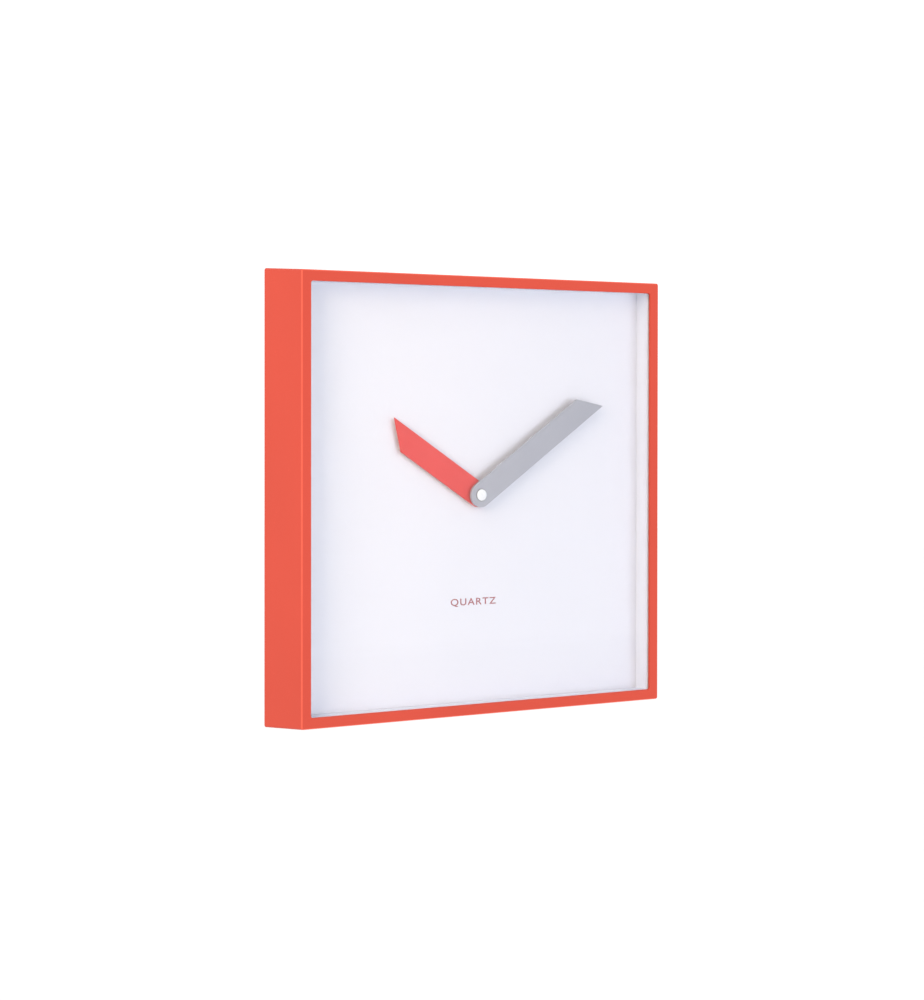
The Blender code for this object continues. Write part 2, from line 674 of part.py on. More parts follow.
MINUTE_PIPE_R = 1.5 * MM
PIPE_TIP = MINUTE_HAND_Y - 0.4 * MM
neck_front = BRIDGE_FRONT[0] - 0.15 * MM
neck_back = BRIDGE_FRONT[1] + 0.15 * MM
centre_profile = [
    (0, PIPE_TIP),
    (MINUTE_PIPE_R - 0.2 * MM, PIPE_TIP),
    (MINUTE_PIPE_R, PIPE_TIP + 0.2 * MM),
    (MINUTE_PIPE_R, neck_front),
    (CENTRE_NECK_R, neck_front),
    (CENTRE_NECK_R, neck_back),
    (MINUTE_PIPE_R, neck_back),
    (MINUTE_PIPE_R, TRAIN_1[1] + 0.5 * MM),
    (ARBOR_R, TRAIN_1[1] + 0.5 * MM),
    (ARBOR_R, BRIDGE_BACK[0] - GAP),
    (PIVOT_R, BRIDGE_BACK[0] - GAP),
    (PIVOT_R, BRIDGE_BACK[1] - 0.2 * MM),
    (0, BRIDGE_BACK[1] - 0.2 * MM),
]
centre_wheel = piece(
    "centre_wheel",
    toothed(CENTRE_TEETH, TRAIN_MODULE, THIRD_DIR, TRAIN_1),
    GEAR_WHITE,
    CENTRE,
    minute_axis,
)
cannon_layer = (MOTION_LAYER[0] - PINION_OVER, MOTION_LAYER[1] + PINION_OVER)
cannon = toothed(CANNON_TEETH, CANNON_MODULE, MINUTE_DIR, cannon_layer, True)
combine(centre_wheel, turned(centre_profile, steps=24), "UNION")
combine(centre_wheel, cannon, "UNION")

motion_profile = [
    (0, HOUR_LAYER[0] - 0.6 * MM),
    (1.0 * MM, HOUR_LAYER[0] - 0.6 * MM),
    (1.0 * MM, MOTION_LAYER[1] + GAP),
    (MINUTE_ARBOR_R, MOTION_LAYER[1] + GAP),
    (MINUTE_ARBOR_R, LID_BACK - 0.6 * MM),
    (0, LID_BACK - 0.6 * MM),
]
minute_wheel = piece(
    "minute_wheel",
    toothed(MINUTE_TEETH, CANNON_MODULE, MINUTE_DIR + BACKWARDS, MOTION_LAYER),
    GEAR_WHITE,
    MINUTE,
    motion_axis,
)
pinion_layer = (HOUR_LAYER[0] - PINION_OVER, MOTION_LAYER[0] + 0.4 * MM)
minute_pinion = toothed(MINUTE_PINION, HOUR_MODULE, MINUTE_DIR + BACKWARDS, pinion_layer, True)
combine(minute_wheel, minute_pinion, "UNION", MINUTE)
combine(minute_wheel, turned(motion_profile, steps=12), "UNION", MINUTE)

HOUR_PIPE = (1.85 * MM, 2.55 * MM)
hour_wheel = piece(
    "hour_wheel",
    toothed(HOUR_TEETH, HOUR_MODULE, MINUTE_DIR, HOUR_LAYER, hole=2.2 * MM),
    GEAR_WHITE,
    CENTRE,
    hour_axis,
)
COLLET_OVER = 0.4 * MM  # how far the hour collet and pipe stand in front of their hand
hour_pipe = ring(*HOUR_PIPE, HOUR_HAND_Y - COLLET_OVER, HOUR_LAYER[1] + 0.2 * MM)
combine(hour_wheel, hour_pipe, "UNION")

KNOB_R = 6.0 * MM
KNOB_RIBS = 24
KNOB_RIB_DEPTH = 0.35 * MM
knob_front = LID_BACK + GAP
knob_back = -2.6 * MM
knob_edge = []
for i in range(KNOB_RIBS * 2):
    reach = KNOB_R if i % 2 else KNOB_R - KNOB_RIB_DEPTH
    turn = math.tau * i / (KNOB_RIBS * 2)
    knob_edge.append((reach * math.cos(turn), reach * math.sin(turn)))
set_knob = piece("set_knob", plate([knob_edge], knob_front, knob_back), KNOB_GREY, MINUTE, motion_axis)
stem = ring(MINUTE_ARBOR_R + GAP, STEM_R, BRIDGE_BACK[1] + 0.4 * MM, knob_front + 0.3 * MM, steps=16)
combine(set_knob, stem, "UNION", MINUTE)


# ---------------------------------------------------------------- motor and electronics
COIL_X = (15.0 * MM, 22.8 * MM)
COIL_Y = -12.9 * MM
COIL_Z = -7.0 * MM
LAMINATION = 0.8 * MM
STATOR_RING_R = 5.0 * MM
STATOR_HOLE_R = MAGNET_R + 0.5 * MM
LEG_X = (13.0 * MM, 24.9 * MM)
LEG_HALF = 1.0 * MM
CORE_HALF = 0.55 * MM
stator_layer = (COIL_Y - LAMINATION / 2, COIL_Y + LAMINATION / 2)
stator = piece("stator", plate([circle(STATOR_RING_R, *ROTOR)], *stator_layer), IRON)
leg_top = ROTOR[1] + LEG_HALF
leg_low = COIL_Z - CORE_HALF
for low_x, high_x, low_z, high_z in (
    (LEG_X[0] - LEG_HALF, LEG_X[1] + LEG_HALF, ROTOR[1] - LEG_HALF, leg_top),
    (LEG_X[0] - LEG_HALF, LEG_X[0] + LEG_HALF, leg_low, leg_top - 0.1 * MM),
    (LEG_X[1] - LEG_HALF, LEG_X[1] + LEG_HALF, leg_low, leg_top - 0.1 * MM),
    (LEG_X[0], LEG_X[1], leg_low + 0.05 * MM, COIL_Z + CORE_HALF),
):
    inset = 0.02 * MM * len(stator.modifiers)  # keeps the joined faces out of one plane
    bar = block(
        (low_x, stator_layer[0] + inset, low_z), (high_x, stator_layer[1] - inset, high_z)
    )
    combine(stator, bar, "UNION")
rotor_hole = plate([circle(STATOR_HOLE_R)], stator_layer[0] - past, stator_layer[1] + past)
combine(stator, rotor_hole, "DIFFERENCE", ROTOR)


def along_x(profile, y, z, steps=20, is_ring=False):
    """A profile of (radius, x) turned about a level axis."""
    mesh = turned([(radius, -x) for radius, x in profile], steps=steps, is_ring=is_ring)
    mesh.transform(Matrix.Translation((0, y, z)) @ Matrix.Rotation(-math.pi / 2, 4, "Z"))
    mesh.flip_normals()
    weld(mesh)
    return mesh


CORE_ROOM_R = 1.0 * MM
BARREL_R = 1.35 * MM
BOBBIN_R = 2.6 * MM
CHEEK = 0.6 * MM
bobbin_profile = [
    (CORE_ROOM_R, COIL_X[0]),
    (BOBBIN_R, COIL_X[0]),
    (BOBBIN_R, COIL_X[0] + CHEEK),
    (BARREL_R, COIL_X[0] + CHEEK),
    (BARREL_R, COIL_X[1] - CHEEK),
    (BOBBIN_R, COIL_X[1] - CHEEK),
    (BOBBIN_R, COIL_X[1]),
    (CORE_ROOM_R, COIL_X[1]),
]
piece("coil_bobbin", along_x(bobbin_profile, COIL_Y, COIL_Z, is_ring=True), PLATE_NATURAL)
winding_r = (BARREL_R + 0.25 * MM, BOBBIN_R - 0.2 * MM)
winding_x = (COIL_X[0] + CHEEK + GAP, COIL_X[1] - CHEEK - GAP)
winding_profile = [(r, x) for x, order in zip(winding_x, (1, -1)) for r in winding_r[::order]]
piece("coil_winding", along_x(winding_profile, COIL_Y, COIL_Z, is_ring=True), COPPER)

BOARD_Y = (-14.5 * MM, -13.7 * MM)
board_edge = rounded_box(12.5 * MM, 4.7 * MM, 0.8 * MM, x=-9.4 * MM, z=21.3 * MM)
piece("circuit_board", plate([board_edge], *BOARD_Y), BOARD_GREEN)
chip_face = BOARD_Y[1] + GAP
chip_profile = [
    (0, chip_face),
    (2.6 * MM, chip_face),
    (2.3 * MM, chip_face + 0.5 * MM),
    (1.4 * MM, chip_face + 1.0 * MM),
    (0, chip_face + 1.2 * MM),
]
piece("clock_chip", turned(chip_profile, -4.0 * MM, 21.3 * MM, steps=16), RESIN)
can_y = BOARD_Y[1] + GAP + 1.0 * MM
can_profile = [
    (0, -18 * MM),
    (0.9 * MM, -18 * MM),
    (1.0 * MM, -17.8 * MM),
    (1.0 * MM, -12.2 * MM),
    (0.9 * MM, -12 * MM),
    (0, -12 * MM),
]
piece("quartz_crystal", along_x(can_profile, can_y, 22.8 * MM, steps=12), CAN)

# ---------------------------------------------------------------- battery and its contacts
half_len = (BATTERY_LEN + NUB_H) / 2
shoulder = half_len - NUB_H
battery_profile = [
    (0, -half_len),
    (BATTERY_R - 0.8 * MM, -half_len),
    (BATTERY_R, -half_len + 0.8 * MM),
    (BATTERY_R, shoulder - 0.8 * MM),
    (BATTERY_R - 0.8 * MM, shoulder),
    (NUB_R, shoulder),
    (NUB_R, half_len - 0.2 * MM),
    (NUB_R - 0.2 * MM, half_len),
    (0, half_len),
]
piece("aa_battery", along_x(battery_profile, BATTERY_Y, BATTERY_Z, steps=24), CELL)

LEAF_T = 0.3 * MM
LEAF_HALF_Z = 4.0 * MM
leaf_path = [
    (26.35 * MM, -19.6 * MM),
    (26.35 * MM, -17.0 * MM),
    (25.60 * MM, -14.0 * MM),
    (25.60 * MM, -12.0 * MM),
    (26.35 * MM, -9.0 * MM),
    (26.35 * MM, -7.9 * MM),
]
leaf_edge = [(x - LEAF_T / 2, y) for x, y in leaf_path] + [(x + LEAF_T / 2, y) for x, y in leaf_path[::-1]]
for label, side in (("plus", 1), ("minus", -1)):
    leaf = flat_mesh([[(side * x, y) for x, y in leaf_edge]], 2 * LEAF_HALF_Z)
    leaf.transform(Matrix.Translation((0, 0, BATTERY_Z)))
    piece(f"battery_contact_{label}", leaf, ZINC)


# ---------------------------------------------------------------- hands
def hand_outline(angle, reach):
    """A flat bar, round behind its axis, with a tip cut at 45 degrees."""
    half = HAND_W / 2
    back = [math.pi * (1 + i / 16) for i in range(17)]
    local = [(half * math.cos(a), half * math.sin(a)) for a in back]
    local += [(half, reach), (-half, reach - HAND_W)]
    # local x runs to the hand's clockwise side and local z to its tip
    side = (math.cos(angle), -math.sin(angle))
    tip = (math.sin(angle), math.cos(angle))
    return [(u * side[0] + v * tip[0], u * side[1] + v * tip[1]) for u, v in local]


def hand(name, angle, reach, layer, hole, material, axis):
    """A hand cut from plate, with a hole for its collet."""
    outlines = [hand_outline(angle, reach), circle(hole)]
    piece(name, plate(outlines, *layer), material, CENTRE, axis)


def collet(name, inner, outer, front, back, axis):
    """A brass tube that grips its pipe and carries a hand."""
    piece(name, ring(inner, outer, front, back, steps=20), BRASS, CENTRE, axis)


HOUR_COLLET = (HOUR_PIPE[1] + 0.2 * MM, 3.5 * MM)
MINUTE_COLLET = (MINUTE_PIPE_R + 0.2 * MM, 2.5 * MM)
hour_layer = (HOUR_HAND_Y, HOUR_HAND_Y + HOUR_HAND_T)
minute_layer = (MINUTE_HAND_Y, MINUTE_HAND_Y + MINUTE_HAND_T)
hand("hour_hand", HOUR_ANGLE, HOUR_REACH, hour_layer, HOUR_COLLET[1] + GAP, HAND_CORAL, hour_axis)
hand("minute_hand", MINUTE_ANGLE, MINUTE_REACH, minute_layer, MINUTE_COLLET[1] + GAP, HAND_GREY, minute_axis)
collet("hour_hand_collet", *HOUR_COLLET, hour_layer[0] - COLLET_OVER, hour_layer[1], hour_axis)
collet("minute_hand_collet", *MINUTE_COLLET, minute_layer[0], minute_layer[1] + 0.1 * MM, minute_axis)

CAP_R = 3.9 * MM
cap_front = PIPE_TIP - 0.5 * MM
cap_back = MINUTE_HAND_Y - GAP
recess_r = MINUTE_PIPE_R + GAP
cap_profile = [
    (0, cap_front),
    (CAP_R - 0.2 * MM, cap_front),
    (CAP_R, cap_front + 0.2 * MM),
    (CAP_R, cap_back),
    (recess_r, cap_back),
    (recess_r, PIPE_TIP - 0.2 * MM),
    (0, PIPE_TIP - 0.2 * MM),
]
piece("hub_cap", turned(cap_profile, steps=32), CAP_WHITE, CENTRE, minute_axis)
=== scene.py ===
# %% [markdown]
# # A square wall clock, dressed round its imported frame
#
# The clock is a shallow coral box with a white lined recess, a plain dial and two flat hands.
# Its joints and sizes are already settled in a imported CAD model, which this lesson loads as a
# fixed frame. Every piece that shows is then made again with the rounded edges, creases and
# small parts that light picks out, and is set to ride on the same body as the CAD piece that
# it stands for. Pieces that stay hidden in the movement keep their CAD shape and get a finish.

# %% Load the frame
import math

import bmesh
import bpy
from mathutils import Euler, Matrix, Vector


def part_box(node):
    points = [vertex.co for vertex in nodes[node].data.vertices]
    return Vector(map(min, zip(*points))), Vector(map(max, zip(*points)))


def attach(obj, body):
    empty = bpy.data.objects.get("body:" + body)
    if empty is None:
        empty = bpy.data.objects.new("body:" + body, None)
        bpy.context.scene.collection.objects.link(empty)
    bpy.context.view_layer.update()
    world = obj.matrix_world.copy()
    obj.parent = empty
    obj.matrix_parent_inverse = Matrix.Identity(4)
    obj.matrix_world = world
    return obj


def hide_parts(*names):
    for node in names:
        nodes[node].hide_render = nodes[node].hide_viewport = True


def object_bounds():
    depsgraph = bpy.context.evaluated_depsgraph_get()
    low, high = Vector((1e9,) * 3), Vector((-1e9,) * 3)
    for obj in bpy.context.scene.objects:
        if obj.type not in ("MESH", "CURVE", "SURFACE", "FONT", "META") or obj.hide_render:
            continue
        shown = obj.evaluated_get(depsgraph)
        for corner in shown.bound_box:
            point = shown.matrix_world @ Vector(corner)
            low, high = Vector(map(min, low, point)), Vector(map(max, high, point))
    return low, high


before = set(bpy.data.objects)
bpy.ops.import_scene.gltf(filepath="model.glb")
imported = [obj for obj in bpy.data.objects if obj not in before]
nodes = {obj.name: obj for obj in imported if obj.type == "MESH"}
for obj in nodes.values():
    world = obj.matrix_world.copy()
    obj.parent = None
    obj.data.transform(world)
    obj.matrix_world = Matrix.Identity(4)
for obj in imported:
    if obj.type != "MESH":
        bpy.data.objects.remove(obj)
cad_low, cad_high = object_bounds()
print("CAD box", [round(v, 4) for v in cad_low], [round(v, 4) for v in cad_high])

# %% [markdown]
# ## Where everything lies
#
# The clock hangs from the origin, its dial looks along -Y, and its hands turn about a level axis
# below the hook. All places come from the boxes of the CAD nodes, so a change in the CAD model
# moves the looks with it. Sizes that no box gives, such as a rounding, are named in millimetres
# where they are first used.

# %% The main depths and the hands' axis
MM = 0.001
frame_low, frame_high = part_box("frame")
dial_low, dial_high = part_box("dial_plate")
liner_low, liner_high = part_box("dial_liner")
lens_low, lens_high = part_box("glass_lens")
cap_low, cap_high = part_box("hub_cap")
hands_axis = Vector(((frame_low.x + frame_high.x) / 2, 0, (frame_low.z + frame_high.z) / 2))
front_y = frame_low.y
print("hands' axis", tuple(round(v, 4) for v in hands_axis), "front", round(front_y, 4))

# %% [markdown]
# ## Camera
#
# The clock is looked at from its left, a little above its middle, from about five and a half
# widths away, so its sides stay nearly straight. The camera is placed from the middle of the
# front border, and a small vertical shift frames the clock a little above the picture's middle
# without tipping its upright edges.

# %% Place the camera
front_half = 147.5 * MM  # half the outline at the front border
wide = 2 * front_half
CAMERA_PLACE = Vector((-3.15225, -4.39715, 0.18969))  # from the border's middle, in widths
camera_data = bpy.data.cameras.new("camera")
camera = bpy.data.objects.new("camera", camera_data)
bpy.context.scene.collection.objects.link(camera)
bpy.context.scene.camera = camera
camera_data.sensor_width = 36.0
camera_data.lens = 85.17
camera_data.shift_y = -0.0609
camera_data.clip_start = 0.05
camera_data.clip_end = 40
face_middle = Vector((hands_axis.x, front_y, hands_axis.z))
camera.location = face_middle + CAMERA_PLACE * wide
turn_right, look_down, lean = math.radians(34.973), math.radians(0.646), math.radians(0.058)
camera.rotation_mode = "XYZ"
aim = Matrix.Rotation(-turn_right, 4, "Z") @ Matrix.Rotation(math.pi / 2 - look_down, 4, "X")
camera.rotation_euler = (aim @ Matrix.Rotation(lean, 4, "Z")).to_euler("XYZ")
print("camera at", tuple(round(v, 3) for v in camera.location))

# %% [markdown]
# ## Light and floor
#
# A product light for a satin box is wide and soft. One large panel stands in front of the dial,
# a little low and to the right, but not so far over that the pane mirrors it to the camera. A
# second one on the left, with a warmer tint, keeps the deep side as bright as the border, and a
# white surround fills the rest. The floor is a wide, pale sheet well below the
# clock, so that it reads as empty studio ground.

# %% Surround
world = bpy.data.worlds.new("studio")
bpy.context.scene.world = world
world.use_nodes = True
surround = world.node_tree.nodes["Background"]
surround.inputs["Color"].default_value = (1.0, 1.0, 1.0, 1.0)
surround.inputs["Strength"].default_value = 1.13
bpy.context.scene.view_settings.view_transform = "Standard"
bpy.context.scene.view_settings.look = "None"


# %% Soft panels
def soft_panel(name, place, width, height, power, colour):
    """An area light, placed from the middle of the front border and turned to face it."""
    light = bpy.data.lights.new(name, "AREA")
    light.shape = "RECTANGLE"
    light.size = width
    light.size_y = height
    light.energy = power
    light.color = colour
    lamp = bpy.data.objects.new(name, light)
    bpy.context.scene.collection.objects.link(lamp)
    lamp.location = face_middle + Vector(place)
    lamp.rotation_euler = (face_middle - lamp.location).to_track_quat("-Z", "Y").to_euler()


COOL, WARM = (0.92, 1.0, 1.15), (1.0, 0.82, 0.60)
soft_panel("front_panel", (0.45, -1.55, -0.15), 0.6, 0.6, 3.0, COOL)
soft_panel("left_panel", (-1.0, -0.47, 0.34), 0.5, 0.5, 4.6, WARM)
print("two panels and a white surround")

# %% Floor
FLOOR_DROP, FLOOR_HALF, FLOOR_SET_BACK = 0.55, 9.0, 4.0
floor_data = bpy.data.meshes.new("floor")
floor_work = bmesh.new()
bmesh.ops.create_grid(floor_work, x_segments=2, y_segments=2, size=FLOOR_HALF)
bmesh.ops.translate(floor_work, verts=floor_work.verts, vec=(0, FLOOR_SET_BACK, cad_low.z - FLOOR_DROP))
floor_work.to_mesh(floor_data)
floor_work.free()
floor = bpy.data.objects.new("floor", floor_data)
bpy.context.scene.collection.objects.link(floor)
floor_paint = bpy.data.materials.new("pale_floor")
floor_paint.use_nodes = True
floor_shader = floor_paint.node_tree.nodes["Principled BSDF"]
floor_shader.inputs["Base Color"].default_value = (0.9, 0.9, 0.9, 1.0)
floor_shader.inputs["Roughness"].default_value = 0.9
floor_data.materials.append(floor_paint)

# %% [markdown]
# ## A small kit for finishes
#
# Every finish below is a Principled shader with a little life in it: a colour that drifts over
# centimetres, a gloss that varies where hands and cloths have been, and a bump at the scale of
# the real surface. These helpers keep each finish to a few lines. Patterns read Object
# coordinates, which are metres in the clock's own frame, so a noise scale of 1000 means grains
# about a millimetre across.


# %% Node helpers
class Finish:
    """A Principled material that patterns can be added to."""

    def __init__(self, name, colour, roughness, metallic=0.0):
        self.material = bpy.data.materials.new(name)
        self.material.use_nodes = True
        self.tree = self.material.node_tree
        self.shader = self.tree.nodes["Principled BSDF"]
        self.shader.inputs["Base Color"].default_value = (*colour, 1.0)
        self.shader.inputs["Roughness"].default_value = roughness
        self.shader.inputs["Metallic"].default_value = metallic
        self.place = self.tree.nodes.new("ShaderNodeTexCoord").outputs["Object"]
        self.last_bump = None

    def set(self, socket, value):
        self.shader.inputs[socket].default_value = value
        return self

    def node(self, kind, **settings):
        made = self.tree.nodes.new(kind)
        for key, value in settings.items():
            setattr(made, key, value)
        return made

    def join(self, source, target):
        self.tree.links.new(source, target)

    def stretched(self, scale):
        """Object coordinates, squeezed along each axis."""
        mapping = self.node("ShaderNodeMapping")
        mapping.inputs["Scale"].default_value = scale
        self.join(self.place, mapping.inputs["Vector"])
        return mapping.outputs["Vector"]

    def noise(self, scale, detail=2.0, stretch=None, rough=0.5):
        """A soft noise from 0 to 1."""
        made = self.node("ShaderNodeTexNoise")
        made.inputs["Scale"].default_value = scale
        made.inputs["Detail"].default_value = detail
        made.inputs["Roughness"].default_value = rough
        self.join(self.stretched(stretch) if stretch else self.place, made.inputs["Vector"])
        return made.outputs["Fac"]

    def ramp(self, source, low, high, from_low=0.3, from_high=0.7):
        """A value moved from one range to another."""
        made = self.node("ShaderNodeMapRange")
        made.inputs["From Min"].default_value = from_low
        made.inputs["From Max"].default_value = from_high
        made.inputs["To Min"].default_value = low
        made.inputs["To Max"].default_value = high
        self.join(source, made.inputs["Value"])
        return made.outputs["Result"]

    def sum_of(self, operation, first, second=0.0):
        """One sum on a pair of values or numbers."""
        made = self.node("ShaderNodeMath", operation=operation)
        for socket, source in zip(made.inputs, (first, second)):
            if isinstance(source, (int, float)):
                socket.default_value = source
            else:
                self.join(source, socket)
        return made.outputs["Value"]

    def blend(self, mask, low, high):
        """A colour between two, by a mask."""
        made = self.node("ShaderNodeMix", data_type="RGBA")
        self.join(mask, made.inputs["Factor"])
        for socket, colour in ((made.inputs[6], low), (made.inputs[7], high)):
            if isinstance(colour, tuple):
                socket.default_value = (*colour, 1.0)
            else:
                self.join(colour, socket)
        return made.outputs[2]

    def paint(self, source):
        self.join(source, self.shader.inputs["Base Color"])
        return self

    def gloss(self, source):
        self.join(source, self.shader.inputs["Roughness"])
        return self

    def bump(self, source, height, strength=1.0):
        """Relief of a height in metres, on top of any relief before it."""
        made = self.node("ShaderNodeBump")
        made.inputs["Distance"].default_value = height
        made.inputs["Strength"].default_value = strength
        self.join(source, made.inputs["Height"])
        if self.last_bump:
            self.join(self.last_bump, made.inputs["Normal"])
        self.last_bump = made.outputs["Normal"]
        self.join(self.last_bump, self.shader.inputs["Normal"])
        return self


def shade_of(colour, amount):
    """A colour made lighter or darker by a factor."""
    return tuple(min(1.0, c * amount) for c in colour)


print("finish kit ready")

# %% [markdown]
# ## A small kit for pieces
#
# Each piece is drawn flat in a bmesh, in the plane of the dial, and then pulled out along Y,
# because nearly everything on a clock is a plate, a ring or a turned part. The outline is made
# from a primitive or an arc, the edges are bevelled, and the mesh is left in its real place with
# its object at the origin.


# %% Mesh helpers
def new_piece(name, work, finish, body, stands_for=(), round_edges=0.0):
    """Turn a bmesh into a finished piece that rides on a body and stands for CAD nodes."""
    bmesh.ops.remove_doubles(work, verts=work.verts, dist=1e-7)
    bmesh.ops.recalc_face_normals(work, faces=work.faces)
    mesh = bpy.data.meshes.new(name)
    work.to_mesh(mesh)
    work.free()
    mesh.polygons.foreach_set("use_smooth", [True] * len(mesh.polygons))
    mesh.materials.append(finish.material)
    piece = bpy.data.objects.new(name, mesh)
    bpy.context.scene.collection.objects.link(piece)
    if round_edges:
        rounding = piece.modifiers.new("rounding", "BEVEL")
        rounding.width = round_edges
        rounding.segments = 2
        rounding.limit_method = "ANGLE"
        rounding.angle_limit = math.radians(32)
    else:
        mesh.set_sharp_from_angle(angle=math.radians(35))
    even = piece.modifiers.new("even_shading", "WEIGHTED_NORMAL")  # keeps flat faces flat beside bevels
    even.keep_sharp = True
    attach(piece, body)
    if stands_for:
        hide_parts(*stands_for)
    return piece


def refined(node, name, finish, body, round_edges=0.2 * MM):
    """A piece with a CAD node's own shape, its triangles joined up and its edges rounded."""
    work = bmesh.new()
    work.from_mesh(nodes[node].data)
    bmesh.ops.remove_doubles(work, verts=work.verts, dist=2e-6)
    bmesh.ops.dissolve_limit(work, angle_limit=0.01, verts=list(work.verts), edges=list(work.edges))
    return new_piece(name, work, finish, body, [node], round_edges)


def soften(work, edges, offset, segments=3):
    """Round some edges."""
    return bmesh.ops.bevel(
        work, geom=list(edges), offset=offset, segments=segments, profile=0.5, affect="EDGES", material=-1
    )


def reach(edge):
    """How far an edge lies from the hands' axis, across or up."""
    return max(max(abs(v.co.x - hands_axis.x), abs(v.co.z - hands_axis.z)) for v in edge.verts)


def edges_at(work, depth, half=None):
    """The sharp edges at one depth and, if half is given, near the square of that half width."""
    found = [e for e in work.edges if all(abs(v.co.y - depth) < 1e-6 for v in e.verts)]
    found = [e for e in found if e.calc_face_angle(0) > 0.4]
    return [e for e in found if half is None or abs(reach(e) - half) < 1 * MM]


print("piece kit ready")


# %% Rings, plates and turned shapes
def square_ring(profile, corner, corner_steps=6):
    """A square ring whose cross-section is a closed list of (half width, depth)."""
    work = bmesh.new()
    bmesh.ops.create_grid(work, x_segments=1, y_segments=1, size=profile[0][0])
    bmesh.ops.rotate(work, verts=work.verts, matrix=Matrix.Rotation(math.pi / 2, 3, "X"))
    corners = list(work.verts)
    bmesh.ops.bevel(
        work, geom=corners, offset=corner, segments=corner_steps, profile=0.5, affect="VERTICES", material=-1
    )
    bmesh.ops.delete(work, geom=list(work.faces), context="FACES_ONLY")
    bmesh.ops.translate(work, verts=work.verts, vec=(0, profile[0][1], 0))
    first = list(work.edges)
    loop, before = first, profile[0]
    for half, depth in profile[1:]:
        grown = bmesh.ops.extrude_edge_only(work, edges=loop)["geom"]
        verts = [g for g in grown if isinstance(g, bmesh.types.BMVert)]
        loop = [g for g in grown if isinstance(g, bmesh.types.BMEdge) and all(v in verts for v in g.verts)]
        share = half / before[0]
        bmesh.ops.scale(work, vec=(share, 1, share), verts=verts)
        bmesh.ops.translate(work, vec=(0, depth - before[1], 0), verts=verts)
        before = (half, depth)
    bmesh.ops.bridge_loops(work, edges=loop + first)
    bmesh.ops.translate(work, verts=work.verts, vec=(hands_axis.x, 0, hands_axis.z))
    return work


def arc(radius, start, end, steps, centre=(0.0, 0.0)):
    """Points along an arc, in degrees."""
    turns = [math.radians(start + (end - start) * i / steps) for i in range(steps + 1)]
    return [(centre[0] + radius * math.cos(t), centre[1] + radius * math.sin(t)) for t in turns]


def round_hole(radius, centre=(0.0, 0.0), steps=48):
    return arc(radius, 0, 360 - 360 / steps, steps - 1, centre)


def rounded_rectangle(half_x, half_z, radius, centre=(0.0, 0.0), steps=6):
    points = []
    for quarter, (sx, sz) in enumerate(((1, 1), (-1, 1), (-1, -1), (1, -1))):
        middle = (centre[0] + sx * (half_x - radius), centre[1] + sz * (half_z - radius))
        points += arc(radius, 90 * quarter, 90 * (quarter + 1), steps, middle)
    return points


def flat_plate(outlines, front, back, round_front=0.0, round_back=0.0, segments=3, centre=None):
    """A plate between two depths: the first outline is its edge, the others are its holes."""
    at = hands_axis if centre is None else centre
    work = bmesh.new()
    for outline in outlines:
        ring = [work.verts.new((at.x + x, front, at.z + z)) for x, z in outline]
        for one, two in zip(ring, ring[1:] + ring[:1]):
            work.edges.new((one, two))
    bmesh.ops.triangle_fill(work, use_beauty=True, use_dissolve=False, edges=list(work.edges))
    bmesh.ops.dissolve_limit(work, angle_limit=0.001, verts=list(work.verts), edges=list(work.edges))
    grown = bmesh.ops.extrude_face_region(work, geom=list(work.faces), use_keep_orig=True)["geom"]
    verts = [g for g in grown if isinstance(g, bmesh.types.BMVert)]
    bmesh.ops.translate(work, vec=(0, back - front, 0), verts=verts)
    bmesh.ops.recalc_face_normals(work, faces=work.faces)
    if round_front:
        soften(work, edges_at(work, front), round_front, segments)
    if round_back:
        soften(work, edges_at(work, back), round_back, segments)
    return work


def turned_shape(profile, centre=None, steps=64, closed=False):
    """A profile of (radius, depth), spun once about a level axis through the centre."""
    at = hands_axis if centre is None else centre
    work = bmesh.new()
    verts = [work.verts.new((radius, depth, 0)) for radius, depth in profile]
    pairs = list(zip(verts, verts[1:]))
    if closed:
        pairs.append((verts[-1], verts[0]))
    edges = [work.edges.new(pair) for pair in pairs]
    bmesh.ops.spin(
        work, geom=verts + edges, cent=(0, 0, 0), axis=(0, 1, 0), angle=math.tau, steps=steps, use_merge=True
    )
    bmesh.ops.remove_doubles(work, verts=work.verts, dist=1e-7)
    bmesh.ops.translate(work, vec=(at.x, 0, at.z), verts=work.verts)
    bmesh.ops.recalc_face_normals(work, faces=work.faces)
    return work


print("rings, plates and turned shapes ready")

# %% [markdown]
# ## The coral frame
#
# The box is one moulding: a thin square border in front, and deep side walls that lean out a
# little towards the wall so that it leaves its mould. It could be a cube with Boolean cuts, but
# walking one cross-section round a square gives clean quads, and lets the lip, the seat of the
# glass and the rear rim be drawn as points of that section. The sharp edges then get small
# round-overs, whose thin highlights draw the border, and the outer front edge also gets a
# painted highlight in its finish.

# %% Coral lacquer
coral_colour = (0.590, 0.077, 0.050)
coral = Finish("coral_lacquer_satin", coral_colour, 0.42)
drift = coral.ramp(coral.noise(9, detail=2), 0.0, 1.0)
cloud = coral.blend(drift, shade_of(coral_colour, 0.96), shade_of(coral_colour, 1.03))
speck = coral.ramp(coral.noise(900, detail=1), 0.0, 1.0, 0.72, 0.80)
flecked = coral.blend(speck, cloud, shade_of(coral_colour, 1.12))
coral.gloss(coral.ramp(coral.noise(35, detail=3), 0.36, 0.47))
coral.bump(coral.noise(420, detail=2), 0.00002, 0.5).bump(coral.noise(2600, detail=1), 0.000004, 0.6)
coral.set("Specular IOR Level", 0.06)
